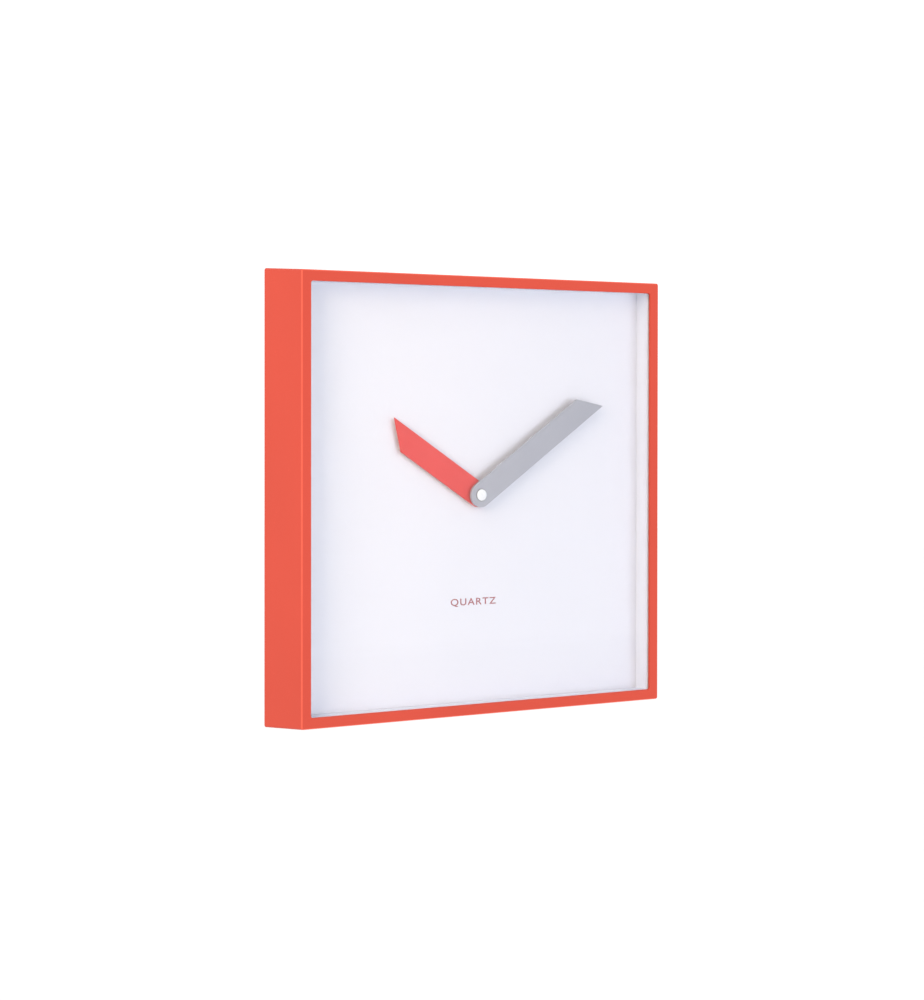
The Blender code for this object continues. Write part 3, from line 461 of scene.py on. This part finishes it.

# %% Painted highlight on the front edge
EDGE_ROUND = 0.85 * MM
spot_at = coral.node("ShaderNodeSeparateXYZ")
coral.join(coral.place, spot_at.inputs["Vector"])
beside_axis = coral.sum_of("ABSOLUTE", coral.sum_of("SUBTRACT", spot_at.outputs["X"], hands_axis.x))
above_axis = coral.sum_of("ABSOLUTE", coral.sum_of("SUBTRACT", spot_at.outputs["Z"], hands_axis.z))
out_from_axis = coral.sum_of("MAXIMUM", beside_axis, above_axis)
edge_start = front_half - EDGE_ROUND
at_edge = coral.ramp(out_from_axis, 0.0, 1.0, edge_start, edge_start + 0.3 * MM)
near_front = coral.ramp(spot_at.outputs["Y"], 1.0, 0.0, front_y + 0.7 * EDGE_ROUND, front_y + EDGE_ROUND)
highlight_patchiness = coral.ramp(coral.noise(120, detail=3), 0.75, 1.0)
edge_highlight_mask = coral.sum_of("MULTIPLY", coral.sum_of("MULTIPLY", at_edge, near_front), highlight_patchiness)
# Painted highlight: the rounded outer front edge is painted a lighter coral, in patches set by a noise,
# standing in for the sheen that edge catches.
coral.paint(coral.blend(edge_highlight_mask, flecked, (0.760, 0.125, 0.080)))

# %% Frame moulding
rear_y = frame_high.y
rear_half = frame_high.x - hands_axis.x
BORDER, LIP, WALL = 7.2 * MM, 1.8 * MM, 4.2 * MM
opening_half = front_half - BORDER
lip_y = front_y + LIP
seat_half = lens_high.x - hands_axis.x + 0.3 * MM
frame_section = [
    (front_half, front_y),
    (opening_half, front_y),
    (opening_half, lip_y),
    (seat_half, lip_y),
    (rear_half - WALL, rear_y),
    (rear_half, rear_y),
]
frame_work = square_ring(frame_section, corner=1.5 * MM)
soften(frame_work, edges_at(frame_work, front_y, front_half), EDGE_ROUND, 5)
soften(frame_work, edges_at(frame_work, front_y, opening_half), 0.35 * MM, 3)
soften(frame_work, edges_at(frame_work, rear_y), 0.4 * MM, 3)
frame_piece = new_piece("frame_shell", frame_work, coral, "case", ["frame"])
print("frame faces", len(frame_piece.data.polygons))

# %% [markdown]
# ## Liner and dial
#
# Behind the border a white ring lines the recess. It is a plain moulded strip, a shade warmer
# than the dial, and a hair of a gap is left where it meets the dial, which draws the fine line
# seen down the right-hand side. The dial is a plain printed sheet with a soft bluish white, no
# numerals, and a faint tooth like coated card.

# %% Liner
liner_white = Finish("liner_white_satin", (0.765, 0.795, 0.905), 0.55)
liner_tone = liner_white.ramp(liner_white.noise(14), 0.0, 1.0)
liner_white.paint(liner_white.blend(liner_tone, (0.755, 0.786, 0.897), (0.775, 0.804, 0.913)))
liner_white.gloss(liner_white.ramp(liner_white.noise(60, detail=3), 0.48, 0.62))
liner_white.bump(liner_white.noise(1800, detail=2), 0.000006, 0.7)
liner_inner = opening_half + 0.3 * MM
LINER_ROUND = 1.1 * MM  # a generous lead-in behind the glass
liner_rear = dial_low.y - 0.1 * MM  # a hair of a gap against the dial
liner_outer = liner_high.x - hands_axis.x
liner_section = [
    (liner_outer, liner_low.y),
    (liner_inner, liner_low.y),
    (liner_inner, liner_rear),
    (liner_outer, liner_rear),
]
liner_work = square_ring(liner_section, corner=1.2 * MM)
soften(liner_work, edges_at(liner_work, liner_low.y, liner_inner), LINER_ROUND, 5)
new_piece("liner_ring", liner_work, liner_white, "case", ["dial_liner"])

# %% Dial
dial_white = Finish("dial_white_print", (0.780, 0.780, 0.862), 0.62)
dial_tone = dial_white.ramp(dial_white.noise(6), 0.0, 1.0)
dial_white.paint(dial_white.blend(dial_tone, (0.772, 0.774, 0.857), (0.788, 0.786, 0.867)))
dial_white.gloss(dial_white.ramp(dial_white.noise(45, detail=3), 0.56, 0.68))
dial_white.bump(dial_white.noise(1500, detail=3), 0.000005, 0.6)
dial_half = dial_high.x - hands_axis.x
bush_hole = 4.3 * MM
dial_outlines = [rounded_rectangle(dial_half, dial_half, 1.5 * MM), round_hole(bush_hole)]
dial_work = flat_plate(dial_outlines, dial_low.y, dial_high.y, 0.15 * MM, 0.15 * MM, 2)
new_piece("dial_sheet", dial_work, dial_white, "case", ["dial_plate"])
print("dial", round(2 * dial_half / MM, 1), "mm square")

# %% [markdown]
# ## Word on the dial
#
# One plain word in small dark coral capitals, which says what drives the clock, is printed below
# the centre and a little to its left. It is set as a text object, made a mesh, and laid on the
# dial as a film a few hundredths of a millimetre thick.

# %% Printed word
ink = Finish("dial_ink_coral", (0.330, 0.050, 0.072), 0.5)
ink_tone = ink.ramp(ink.noise(2500, detail=2), 0.0, 1.0)
ink.paint(ink.blend(ink_tone, (0.31, 0.045, 0.066), (0.35, 0.055, 0.078)))
ink.bump(ink.noise(5000), 0.000003, 0.5)
WORD_WIDE, WORD_TALL, INK_T = 37.5 * MM, 5.6 * MM, 0.04 * MM
WORD_DROP, WORD_LEFT = 73.0 * MM, 1.6 * MM  # from the hands' axis
letters = bpy.data.curves.new("dial_word", "FONT")
letters.body = "QUARTZ"
letters.align_x = "CENTER"
letters.align_y = "CENTER"
letters.size = 1.0
letters.space_character = 1.18
letters.offset = 0.011  # thickens the strokes a little
letters.extrude = 0.01
word_object = bpy.data.objects.new("dial_word", letters)
bpy.context.scene.collection.objects.link(word_object)
bpy.context.view_layer.update()
graph = bpy.context.evaluated_depsgraph_get()
word_mesh = bpy.data.meshes.new_from_object(word_object.evaluated_get(graph))
bpy.data.objects.remove(word_object)
word_work = bmesh.new()
word_work.from_mesh(word_mesh)
low = [min(v.co[i] for v in word_work.verts) for i in range(3)]
high = [max(v.co[i] for v in word_work.verts) for i in range(3)]
middle = [(a + b) / 2 for a, b in zip(low, high)]
size = [b - a for a, b in zip(low, high)]
bmesh.ops.translate(word_work, vec=[-m for m in middle], verts=word_work.verts)
word_scale = (WORD_WIDE / size[0], WORD_TALL / size[1], INK_T / size[2])
bmesh.ops.scale(word_work, vec=word_scale, verts=word_work.verts)
bmesh.ops.rotate(word_work, verts=word_work.verts, matrix=Matrix.Rotation(math.pi / 2, 3, "X"))
word_place = (hands_axis.x - WORD_LEFT, dial_low.y - INK_T / 2 - 0.01 * MM, hands_axis.z - WORD_DROP)
bmesh.ops.translate(word_work, vec=word_place, verts=word_work.verts)
new_piece("dial_word", word_work, ink, "case")
print("word", round(WORD_WIDE / MM, 1), "mm wide")

# %% [markdown]
# ## The glass
#
# A thin pane sits in the seat behind the border. It is a plate with a fine ground edge. Its
# finish is clear and smooth, with faint wiping marks in the bump. It casts no shadow, because a
# flat pane lets light straight through, which a renderer otherwise makes hard work of.

# %% Lens
glass = Finish("clear_glass_pane", (0.985, 0.992, 0.990), 0.02)
glass.set("Transmission Weight", 1.0).set("IOR", 1.45).set("Specular IOR Level", 0.5)
glass.bump(glass.noise(18, detail=2, stretch=(1.0, 1.0, 0.35)), 0.000004, 0.25)
lens_half = lens_high.x - hands_axis.x
lens_outline = rounded_rectangle(lens_half, lens_high.z - hands_axis.z, 2 * MM)
lens_work = flat_plate([lens_outline], lens_low.y, lens_high.y, 0.3 * MM, 0.3 * MM, 2)
lens_piece = new_piece("glass_pane", lens_work, glass, "case", ["glass_lens"])
lens_piece.visible_shadow = False

# %% [markdown]
# ## Hands
#
# Each hand is a flat bar: round behind its axis, and cut off at a slant at its tip. Both are
# stamped from sheet and painted, so the front edge is slightly rounded and the back edge is
# crisp. The outline is a half circle and two points. The angle and reach of each come from the
# time the hands show and from the CAD boxes.

# %% Paint for the hands
hand_coral = Finish("hand_coral_paint", (0.730, 0.043, 0.037), 0.5)
tone = hand_coral.ramp(hand_coral.noise(40), 0.0, 1.0)
hand_coral.paint(hand_coral.blend(tone, (0.715, 0.040, 0.034), (0.745, 0.046, 0.040)))
hand_coral.gloss(hand_coral.ramp(hand_coral.noise(120, detail=3), 0.40, 0.52))
hand_coral.set("Specular IOR Level", 0.2)
hand_coral.bump(hand_coral.noise(2200, detail=2), 0.000006, 0.6)
hand_grey = Finish("hand_grey_paint", (0.362, 0.368, 0.432), 0.44)
tone = hand_grey.ramp(hand_grey.noise(40), 0.0, 1.0)
hand_grey.paint(hand_grey.blend(tone, (0.350, 0.356, 0.420), (0.374, 0.380, 0.444)))
hand_grey.gloss(hand_grey.ramp(hand_grey.noise(120, detail=3), 0.38, 0.50))
hand_grey.bump(hand_grey.noise(2200, detail=2), 0.000006, 0.6)

# %% Hand shapes
HAND_WIDE = 16.7 * MM


def hand_work(node, clockwise, long_side, hole):
    """A bar along a clockwise angle from 12, with its longer edge on the clockwise side."""
    low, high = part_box(node)
    half = HAND_WIDE / 2
    outline = arc(half, 180, 360, 40) + [(half, long_side), (-half, long_side - HAND_WIDE)]
    outlines = [outline, round_hole(hole)]
    turned_outlines = []
    for points in outlines:
        turn = Matrix.Rotation(-math.radians(clockwise), 2)
        turned_outlines.append([tuple(turn @ Vector(point)) for point in points])
    return flat_plate(turned_outlines, low.y, high.y, 0.3 * MM, 0.1 * MM, 3)


MINUTE_CLOCKWISE, MINUTE_LONG = 56.0, 120.8 * MM
HOUR_CLOCKWISE, HOUR_LONG = 302.0, 85.9 * MM
hour_work = hand_work("hour_hand", HOUR_CLOCKWISE, HOUR_LONG, 3.8 * MM)
new_piece("hour_hand_bar", hour_work, hand_coral, "hour", ["hour_hand"])
minute_work = hand_work("minute_hand", MINUTE_CLOCKWISE, MINUTE_LONG, 2.8 * MM)
new_piece("minute_hand_bar", minute_work, hand_grey, "minute", ["minute_hand"])
print("hands at", MINUTE_CLOCKWISE, "and", HOUR_CLOCKWISE, "degrees")

# %% [markdown]
# ## Hub cap
#
# A little white disc closes the hands' axis. It is turned, with a slightly crowned face, a
# rounded rim and a recess that takes the tip of the minute pipe.

# %% Cap
cap_white = Finish("cap_white_gloss", (0.81, 0.825, 0.87), 0.28)
rings = cap_white.node("ShaderNodeTexWave", wave_type="RINGS", rings_direction="Y")
rings.inputs["Scale"].default_value = 900
to_axis = cap_white.node("ShaderNodeMapping")
to_axis.inputs["Location"].default_value = (-hands_axis.x, 0, -hands_axis.z)
cap_white.join(cap_white.place, to_axis.inputs["Vector"])
cap_white.join(to_axis.outputs["Vector"], rings.inputs["Vector"])
cap_white.bump(rings.outputs["Fac"], 0.000002, 0.4)
cap_white.gloss(cap_white.ramp(cap_white.noise(300), 0.24, 0.34))
cap_white.paint(cap_white.blend(cap_white.noise(200), (0.80, 0.815, 0.86), (0.825, 0.84, 0.885)))
cap_r = cap_high.x - hands_axis.x
crown, PIPE_RECESS_R, PIPE_RECESS = 0.08 * MM, 1.8 * MM, 0.2 * MM
cap_section = [
    (0, cap_low.y),
    (cap_r * 0.5, cap_low.y + crown * 0.25),
    (cap_r - 0.25 * MM, cap_low.y + crown),
    (cap_r - 0.07 * MM, cap_low.y + crown + 0.07 * MM),
    (cap_r, cap_low.y + crown + 0.22 * MM),
    (cap_r, cap_high.y - 0.05 * MM),
    (cap_r - 0.05 * MM, cap_high.y),
    (PIPE_RECESS_R, cap_high.y),
    (PIPE_RECESS_R, cap_high.y - PIPE_RECESS),
    (0, cap_high.y - PIPE_RECESS),
]
new_piece("hub_cap_disc", turned_shape(cap_section, steps=96), cap_white, "minute", ["hub_cap"])
print("cap", round(2 * cap_r / MM, 2), "mm across")

# %% Dark ring under the cap, a painted shadow
# Painted shade: a thin dark ring between the cap and the minute hand, a little wider than the cap, stands in
# for the contact shadow round the cap's rim and is not a real part.
shadow_ring_grey = Finish("cap_shadow_ring_dark", (0.16, 0.165, 0.18), 0.45, 0.6)
shadow_ring_grey.gloss(shadow_ring_grey.ramp(shadow_ring_grey.noise(600, detail=3), 0.38, 0.52))
shadow_ring_grey.bump(shadow_ring_grey.noise(1800, detail=2), 0.000006, 0.5)
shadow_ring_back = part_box("minute_hand")[0].y - 0.05 * MM
shadow_ring_front = cap_high.y + 0.05 * MM
SHADOW_RING_R, SHADOW_RING_HOLE_R, SHADOW_RING_EDGE = cap_r + 0.45 * MM, 2.0 * MM, 0.06 * MM
shadow_ring_section = [
    (SHADOW_RING_HOLE_R, shadow_ring_front),
    (SHADOW_RING_R - SHADOW_RING_EDGE, shadow_ring_front),
    (SHADOW_RING_R, shadow_ring_front + SHADOW_RING_EDGE),
    (SHADOW_RING_R, shadow_ring_back),
    (SHADOW_RING_HOLE_R, shadow_ring_back),
]
new_piece("cap_shadow_ring", turned_shape(shadow_ring_section, steps=96, closed=True), shadow_ring_grey, "minute")

# %% [markdown]
# ## Finishes for metals and plain plastics
#
# Behind the dial the clock is made of brass, zinc-plated steel, black and natural mouldings and
# a fibre board. None of them is one even colour: plating is cloudy, mouldings have a fine spark
# texture from their tool, and board shows its fibres. Each finish is set up once here and then
# shared by all the pieces made of it.

# %% Metals
def metal(name, colour, dull, grain=(1.0, 1.0, 1.0)):
    """A plated or turned metal, cloudy in tone and lightly brushed along its longest grain."""
    made = Finish(name, colour, dull, 1.0)
    cloudy = made.ramp(made.noise(160, detail=3), 0.0, 1.0)
    made.paint(made.blend(cloudy, shade_of(colour, 0.88), shade_of(colour, 1.06)))
    made.gloss(made.ramp(made.noise(420, detail=3, stretch=grain), dull - 0.07, dull + 0.09))
    made.bump(made.noise(1500, detail=2, stretch=grain), 0.000008, 0.5)
    return made


brass = metal("turned_brass", (0.79, 0.57, 0.26), 0.28)
zinc = metal("zinc_plated_steel", (0.66, 0.67, 0.68), 0.34, (1.0, 1.0, 0.15))
nickel = metal("nickel_spring_strip", (0.72, 0.70, 0.66), 0.27, (0.2, 1.0, 1.0))
magnet_grey = metal("magnet_dark_grey", (0.20, 0.20, 0.21), 0.48)
crystal_can = metal("crystal_can_steel", (0.74, 0.74, 0.72), 0.22, (0.2, 1.0, 1.0))
iron = metal("laminated_iron", (0.42, 0.42, 0.43), 0.40)
layers = iron.node("ShaderNodeTexWave", wave_type="BANDS", bands_direction="Y")
layers.inputs["Scale"].default_value = 900
iron.join(iron.place, layers.inputs["Vector"])
iron.bump(layers.outputs["Fac"], 0.00002, 0.6)
print("metals ready")


# %% Plastics
def moulding(name, colour, dull, spark=0.000012):
    """A moulded plastic with a fine spark texture and slightly uneven gloss."""
    made = Finish(name, colour, dull)
    tint = made.ramp(made.noise(70, detail=2), 0.0, 1.0)
    made.paint(made.blend(tint, shade_of(colour, 0.92), shade_of(colour, 1.08)))
    made.gloss(made.ramp(made.noise(260, detail=3), dull - 0.06, dull + 0.08))
    made.bump(made.noise(2800, detail=2), spark, 0.7)
    return made


case_black = moulding("case_black_moulding", (0.022, 0.023, 0.025), 0.46)
knob_grey = moulding("knob_grey_moulding", (0.23, 0.235, 0.245), 0.42)
block_white = moulding("block_natural_moulding", (0.58, 0.56, 0.51), 0.52)
acetal = moulding("natural_acetal", (0.74, 0.72, 0.66), 0.36, 0.000005)
acetal.set("Subsurface Weight", 0.08).set("Subsurface Scale", 0.002)
rubber = moulding("washer_rubber", (0.030, 0.030, 0.031), 0.72, 0.00002)
resin = moulding("chip_black_resin", (0.012, 0.012, 0.014), 0.25, 0.000006)
board_green = moulding("circuit_board_green", (0.025, 0.155, 0.065), 0.33, 0.000004)
tracks = board_green.node("ShaderNodeTexBrick")
tracks.inputs["Scale"].default_value = 420  # rows about 0.6 mm apart
tracks.inputs["Mortar Size"].default_value = 0.06
flat_place = board_green.node("ShaderNodeSeparateXYZ")
board_green.join(board_green.place, flat_place.inputs["Vector"])
across = board_green.node("ShaderNodeCombineXYZ")
board_green.join(flat_place.outputs["X"], across.inputs["X"])
board_green.join(flat_place.outputs["Z"], across.inputs["Y"])
board_green.join(across.outputs["Vector"], tracks.inputs["Vector"])
board_green.paint(board_green.blend(tracks.outputs["Fac"], (0.022, 0.150, 0.060), (0.050, 0.250, 0.110)))
print("plastics ready")

# %% Copper winding
copper = Finish("enamelled_copper", (0.60, 0.23, 0.10), 0.3, 1.0)
turns = copper.node("ShaderNodeTexWave", wave_type="BANDS", bands_direction="X")
turns.inputs["Scale"].default_value = 1500
turns.inputs["Distortion"].default_value = 0.6
turns.inputs["Detail Scale"].default_value = 3.0
copper.join(copper.place, turns.inputs["Vector"])
copper.paint(copper.blend(turns.outputs["Fac"], (0.36, 0.12, 0.05), (0.72, 0.30, 0.13)))
copper.gloss(copper.ramp(copper.noise(500), 0.24, 0.38))
copper.bump(turns.outputs["Fac"], 0.00004, 0.8)
print("winding ready")

# %% Fibre board
board = Finish("back_fibre_board", (0.33, 0.19, 0.10), 0.7)
long_fibre = board.noise(1100, detail=4, stretch=(1.0, 1.0, 0.22), rough=0.65)
cross_fibre = board.noise(1100, detail=4, stretch=(0.22, 1.0, 1.0), rough=0.65)
cloud = board.ramp(board.noise(22, detail=3), 0.0, 1.0)
ground = board.blend(cloud, (0.225, 0.122, 0.062), (0.300, 0.168, 0.088))
flecked = board.blend(board.ramp(long_fibre, 0.0, 0.75, 0.50, 0.72), ground, (0.42, 0.26, 0.15))
board.paint(board.blend(board.ramp(cross_fibre, 0.0, 0.70, 0.52, 0.74), flecked, (0.16, 0.085, 0.045)))
board.gloss(board.ramp(long_fibre, 0.58, 0.78))
board.bump(long_fibre, 0.00006, 0.6).bump(cross_fibre, 0.00005, 0.6)
print("fibre board ready")

# %% [markdown]
# ## Hub hardware
#
# A brass bush carries the movement through the dial, held by a washer and a thin hexagon nut,
# and each hand grips its pipe through a brass collet. Their CAD shapes are right, so each is
# taken as it is, joined up, and given rounded edges by a live bevel.

# %% Bush, washer, nut and collets
refined("threaded_bush", "bush_turned", brass, "case", 0.08 * MM)
refined("brass_washer", "washer_turned", brass, "case", 0.1 * MM)
refined("hex_nut", "nut_chamfered", brass, "case", 0.2 * MM)
refined("hour_hand_collet", "hour_collet_turned", brass, "hour", 0.12 * MM)
refined("minute_hand_collet", "minute_collet_turned", brass, "minute", 0.1 * MM)
print("hub hardware ready")

# %% [markdown]
# ## Back panel
#
# A fibre board closes the back. It has a window for the movement, so that the battery can be
# changed, and a smaller one that leaves room for the head of the wall screw. Its sawn edges are
# barely rounded, so a small bevel is enough. Eight screws hold it.

# %% Panel
refined("back_panel", "back_board", board, "case", 0.25 * MM)


# %% Screws
def screw_work(node, arm, width, thread_pitch):
    """A pan-head screw with a domed head, a cross recess and a cut thread."""
    low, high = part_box(node)
    middle = (low + high) / 2
    head_r = (high.x - low.x) / 2
    shank_r = head_r * 0.44
    head_h = head_r * 0.56
    seat = high.y - head_h
    tip = low.y
    profile = [(0, tip), (shank_r * 0.3, tip), (shank_r * 0.86, tip + shank_r * 1.5)]
    ridge = tip + shank_r * 1.5 + thread_pitch
    while ridge < seat - thread_pitch:
        profile += [(shank_r * 0.80, ridge - thread_pitch / 2), (shank_r, ridge)]
        ridge += thread_pitch
    profile += [(shank_r * 0.85, seat), (head_r * 0.97, seat), (head_r, seat + head_h * 0.12)]
    for turn in range(1, 9):
        dome = math.radians(90 * turn / 8)
        profile.append((head_r * math.cos(dome), seat + head_h * (0.12 + 0.88 * math.sin(dome))))
    profile[-1] = (0, high.y)
    work = turned_shape(profile, centre=Vector((middle.x, 0, middle.z)), steps=32)
    cross = bmesh.new()
    for size_x, size_z in ((arm, width), (width, arm)):
        bar = bmesh.ops.create_cube(cross, size=1.0)["verts"]
        bmesh.ops.scale(cross, vec=(2 * size_x, 2 * head_h, size_z * 2), verts=bar)
        bottom = [v for v in bar if v.co.y < 0]
        bmesh.ops.scale(cross, vec=(0.8, 1.0, 0.8), verts=bottom)
        bmesh.ops.translate(cross, vec=(middle.x, high.y + head_h * 0.42, middle.z), verts=bar)
    return cut_away(work, cross)


def cut_away(work, cutter):
    """One bmesh with another taken out of it."""
    pair = []
    for source in (work, cutter):
        mesh = bpy.data.meshes.new("cut_part")
        source.to_mesh(mesh)
        source.free()
        pair.append(bpy.data.objects.new("cut_part", mesh))
        bpy.context.scene.collection.objects.link(pair[-1])
    taken = pair[0].modifiers.new("recess", "BOOLEAN")
    taken.operation = "DIFFERENCE"
    taken.solver = "EXACT"
    taken.use_self = True
    taken.object = pair[1]
    bpy.context.view_layer.update()
    graph = bpy.context.evaluated_depsgraph_get()
    result = bmesh.new()
    result.from_mesh(pair[0].evaluated_get(graph).to_mesh())
    for temporary in pair:
        bpy.data.objects.remove(temporary)
    return result


spots = ["top", "bottom", "left", "right"]
spots += ["top_left", "top_right", "bottom_left", "bottom_right"]
for spot in spots:
    node = "panel_screw_" + spot
    new_piece("board_screw_" + spot, screw_work(node, 1.7 * MM, 0.36 * MM, 1.1 * MM), zinc, "case", [node])
for spot in ("left", "right"):
    node = "hanger_screw_" + spot
    new_piece("plate_screw_" + spot, screw_work(node, 1.3 * MM, 0.30 * MM, 0.8 * MM), zinc, "case", [node])
print("screws ready")

# %% [markdown]
# ## Keyhole hanger
#
# A small pressed plate takes the wall screw: its head goes in at the wide round hole, and the
# clock is then let down until the shank sits at the top of the narrow slot. The outline is drawn
# with fine arcs, pulled to its thickness, and its edges are rounded as a press leaves them.

# %% Hanger plate
hanger_low, hanger_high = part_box("hanger_plate")
SLOT_R, ENTRY_R, ENTRY_DROP = 2.3 * MM, 4.6 * MM, 11.0 * MM
HANGER_SCREW_X, HANGER_SCREW_Z = 16.0 * MM, -3.0 * MM
meet = math.degrees(math.asin(SLOT_R / ENTRY_R))
keyhole = arc(SLOT_R, 0, 180, 20)
keyhole += arc(ENTRY_R, 90 + meet, 450 - meet, 48, (0.0, -ENTRY_DROP))
hanger_middle = (hanger_low + hanger_high) / 2
hanger_edge = rounded_rectangle(
    (hanger_high.x - hanger_low.x) / 2, (hanger_high.z - hanger_low.z) / 2, 3 * MM, (0.0, hanger_middle.z)
)
hanger_outlines = [hanger_edge, keyhole]
hanger_outlines += [round_hole(1.4 * MM, (side * HANGER_SCREW_X, HANGER_SCREW_Z), 24) for side in (-1, 1)]
hanger_work = flat_plate(
    hanger_outlines, hanger_low.y, hanger_high.y, 0.12 * MM, 0.22 * MM, 2, centre=Vector((0, 0, 0))
)
new_piece("hanger_pressed", hanger_work, zinc, "case", ["hanger_plate"])
print("hanger", round((hanger_high.x - hanger_low.x) / MM, 1), "mm wide")

# %% [markdown]
# ## Movement case, knob and battery
#
# The quartz movement is a small black box. Its lid has an open bay for the battery and a round
# knob that sets the hands. The lid keeps its CAD shape with rounded edges. Raised marks show
# which way round the cell goes and which way the knob turns, as on any such movement.

# %% Lid, case and knob
refined("movement_back_case", "movement_lid", case_black, "case", 0.25 * MM)
refined("movement_front_case", "movement_box", case_black, "case", 0.25 * MM)
refined("set_knob", "knob_ribbed", knob_grey, "motion_wheel", 0.12 * MM)
lid_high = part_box("movement_back_case")[1]
knob_low, knob_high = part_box("set_knob")
knob_middle = (knob_low + knob_high) / 2 - hands_axis
print("lid back at", round(lid_high.y, 4))

# %% Raised marks
MARK_RISE, MARK_SINK = 0.25 * MM, 0.1 * MM


def mark(outlines):
    """A raised mark on the back of the lid."""
    front, back = lid_high.y - MARK_SINK, lid_high.y + MARK_RISE
    return flat_plate(outlines, front, back, 0.0, 0.08 * MM, 2)


def bar(x, z, half_x, half_z):
    return rounded_rectangle(half_x, half_z, 0.3 * MM, (x, z), 3)


def plus(x, z, arm, half):
    """A plus sign as one outline."""
    inner = [(arm, half), (half, half), (half, arm), (-half, arm), (-half, half), (-arm, half)]
    points = inner + [(-px, -pz) for px, pz in inner]
    return [(x + px, z + pz) for px, pz in points]


def curved_arrow(x, z, radius, half, start, end):
    """An arc with an arrow head at its end."""
    points = arc(radius + half, start, end, 24, (x, z))
    head = math.radians(end + (10 if end > start else -10))
    tip = (x + radius * math.cos(head), z + radius * math.sin(head))
    points += arc(radius + 2.6 * half, end, end, 1, (x, z))[:1] + [tip]
    points += arc(radius - 2.6 * half, end, end, 1, (x, z))[:1]
    return points + arc(radius - half, end, start, 24, (x, z))


MARK_Z, MARK_X = -8.3 * MM, 23.0 * MM
new_piece("mark_plus", mark([plus(MARK_X, MARK_Z, 1.7 * MM, 0.35 * MM)]), case_black, "case")
new_piece("mark_minus", mark([bar(-MARK_X, MARK_Z, 1.7 * MM, 0.35 * MM)]), case_black, "case")
arrow = curved_arrow(knob_middle.x, knob_middle.z, 8.6 * MM, 0.35 * MM, 150, 40)
new_piece("mark_arrow", mark([arrow]), case_black, "case")
print("marks ready")

# %% Battery cell
cell_low, cell_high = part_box("aa_battery")
cell_middle = (cell_low + cell_high) / 2
cell_r = (cell_high.z - cell_low.z) / 2
jacket = Finish("cell_jacket_print", (0.06, 0.10, 0.20), 0.32)
along = jacket.node("ShaderNodeSeparateXYZ")
jacket.join(jacket.place, along.inputs["Vector"])
BAND_FROM, BAND_TO = cell_high.x - 15 * MM, cell_high.x - 11 * MM
band_start = jacket.ramp(along.outputs["X"], 0.0, 1.0, BAND_FROM - 0.05 * MM, BAND_FROM)
band_end = jacket.ramp(along.outputs["X"], 0.0, 1.0, BAND_TO, BAND_TO + 0.05 * MM)
body_tone = jacket.blend(jacket.noise(90, detail=3), (0.052, 0.092, 0.185), (0.070, 0.115, 0.225))
banded = jacket.blend(band_start, body_tone, (0.62, 0.63, 0.65))
jacket.paint(jacket.blend(band_end, banded, body_tone))
jacket.gloss(jacket.ramp(jacket.noise(240, detail=3), 0.24, 0.40))
jacket.bump(jacket.noise(700, detail=2, stretch=(0.2, 1.0, 1.0)), 0.00001, 0.5)


def along_x(profile, x_from, centre, closed=False):
    """A profile of (radius, distance), turned about a level axis that runs to the right."""
    work = turned_shape(profile, centre=Vector((0, 0, 0)), steps=64, closed=closed)
    bmesh.ops.rotate(work, verts=work.verts, matrix=Matrix.Rotation(-math.pi / 2, 3, "Z"))
    bmesh.ops.translate(work, vec=(x_from, centre.y, centre.z), verts=work.verts)
    return work


BUTTON_R, BUTTON_H, ROLL = 2.7 * MM, 1.2 * MM, 0.35 * MM
cell_long = cell_high.x - cell_low.x
shoulder = cell_long - BUTTON_H
jacket_section = [(cell_r - ROLL, 0.15 * MM), (cell_r - 0.1 * MM, 0.2 * MM), (cell_r, ROLL)]
jacket_section += [(cell_r, shoulder - ROLL), (cell_r - 0.1 * MM, shoulder - 0.1 * MM)]
jacket_section += [(cell_r - 2 * ROLL, shoulder), (cell_r - 2 * ROLL, shoulder - 0.3 * MM)]
jacket_section += [(cell_r - ROLL, shoulder - 1.0 * MM), (cell_r - ROLL, 1.0 * MM)]
jacket_work = along_x(jacket_section, cell_low.x, cell_middle, closed=True)
new_piece("cell_jacket", jacket_work, jacket, "case", ["aa_battery"])
can_r = cell_r - ROLL - 0.02 * MM
can_section = [(0, 0), (3.8 * MM, 0), (4.0 * MM, 0.12 * MM), (can_r - 0.3 * MM, 0.18 * MM), (can_r, 0.5 * MM)]
can_section += [(can_r, shoulder - 0.8 * MM), (can_r - 0.6 * MM, shoulder - 0.35 * MM)]
can_section += [(BUTTON_R + 0.5 * MM, shoulder - 0.35 * MM), (BUTTON_R, shoulder)]
can_section += [(BUTTON_R, cell_long - 0.25 * MM), (BUTTON_R - 0.25 * MM, cell_long), (0, cell_long)]
new_piece("cell_can", along_x(can_section, cell_low.x, cell_middle), nickel, "case")
print("cell", round(cell_long / MM, 1), "x", round(2 * cell_r / MM, 1), "mm")

# %% Battery contacts
for pole in ("plus", "minus"):
    refined("battery_contact_" + pole, "contact_strip_" + pole, nickel, "case", 0.06 * MM)

# %% [markdown]
# ## Pieces that stay hidden
#
# The train, the motor and the electronics are shut in the case, so their CAD shapes stay and
# only take a finish. They would be seen in a view with the lid taken off.

# %% Finishes for the CAD pieces that stay
kept = {
    "middle_plate": acetal,
    "bearing_plate": acetal,
    "rubber_washer": rubber,
    "third_wheel": acetal,
    "fourth_wheel": acetal,
    "fifth_wheel": acetal,
    "centre_wheel": acetal,
    "minute_wheel": acetal,
    "hour_wheel": acetal,
    "rotor": magnet_grey,
    "stator": iron,
    "coil_bobbin": acetal,
    "coil_winding": copper,
    "circuit_board": board_green,
    "clock_chip": resin,
    "quartz_crystal": crystal_can,
}
for spot in spots:
    kept[("corner_block_" if "_" in spot else "side_block_") + spot] = block_white
for name, finish in kept.items():
    for slot in nodes[name].material_slots:
        slot.material = finish.material
print(len(kept), "CAD pieces keep their shape")
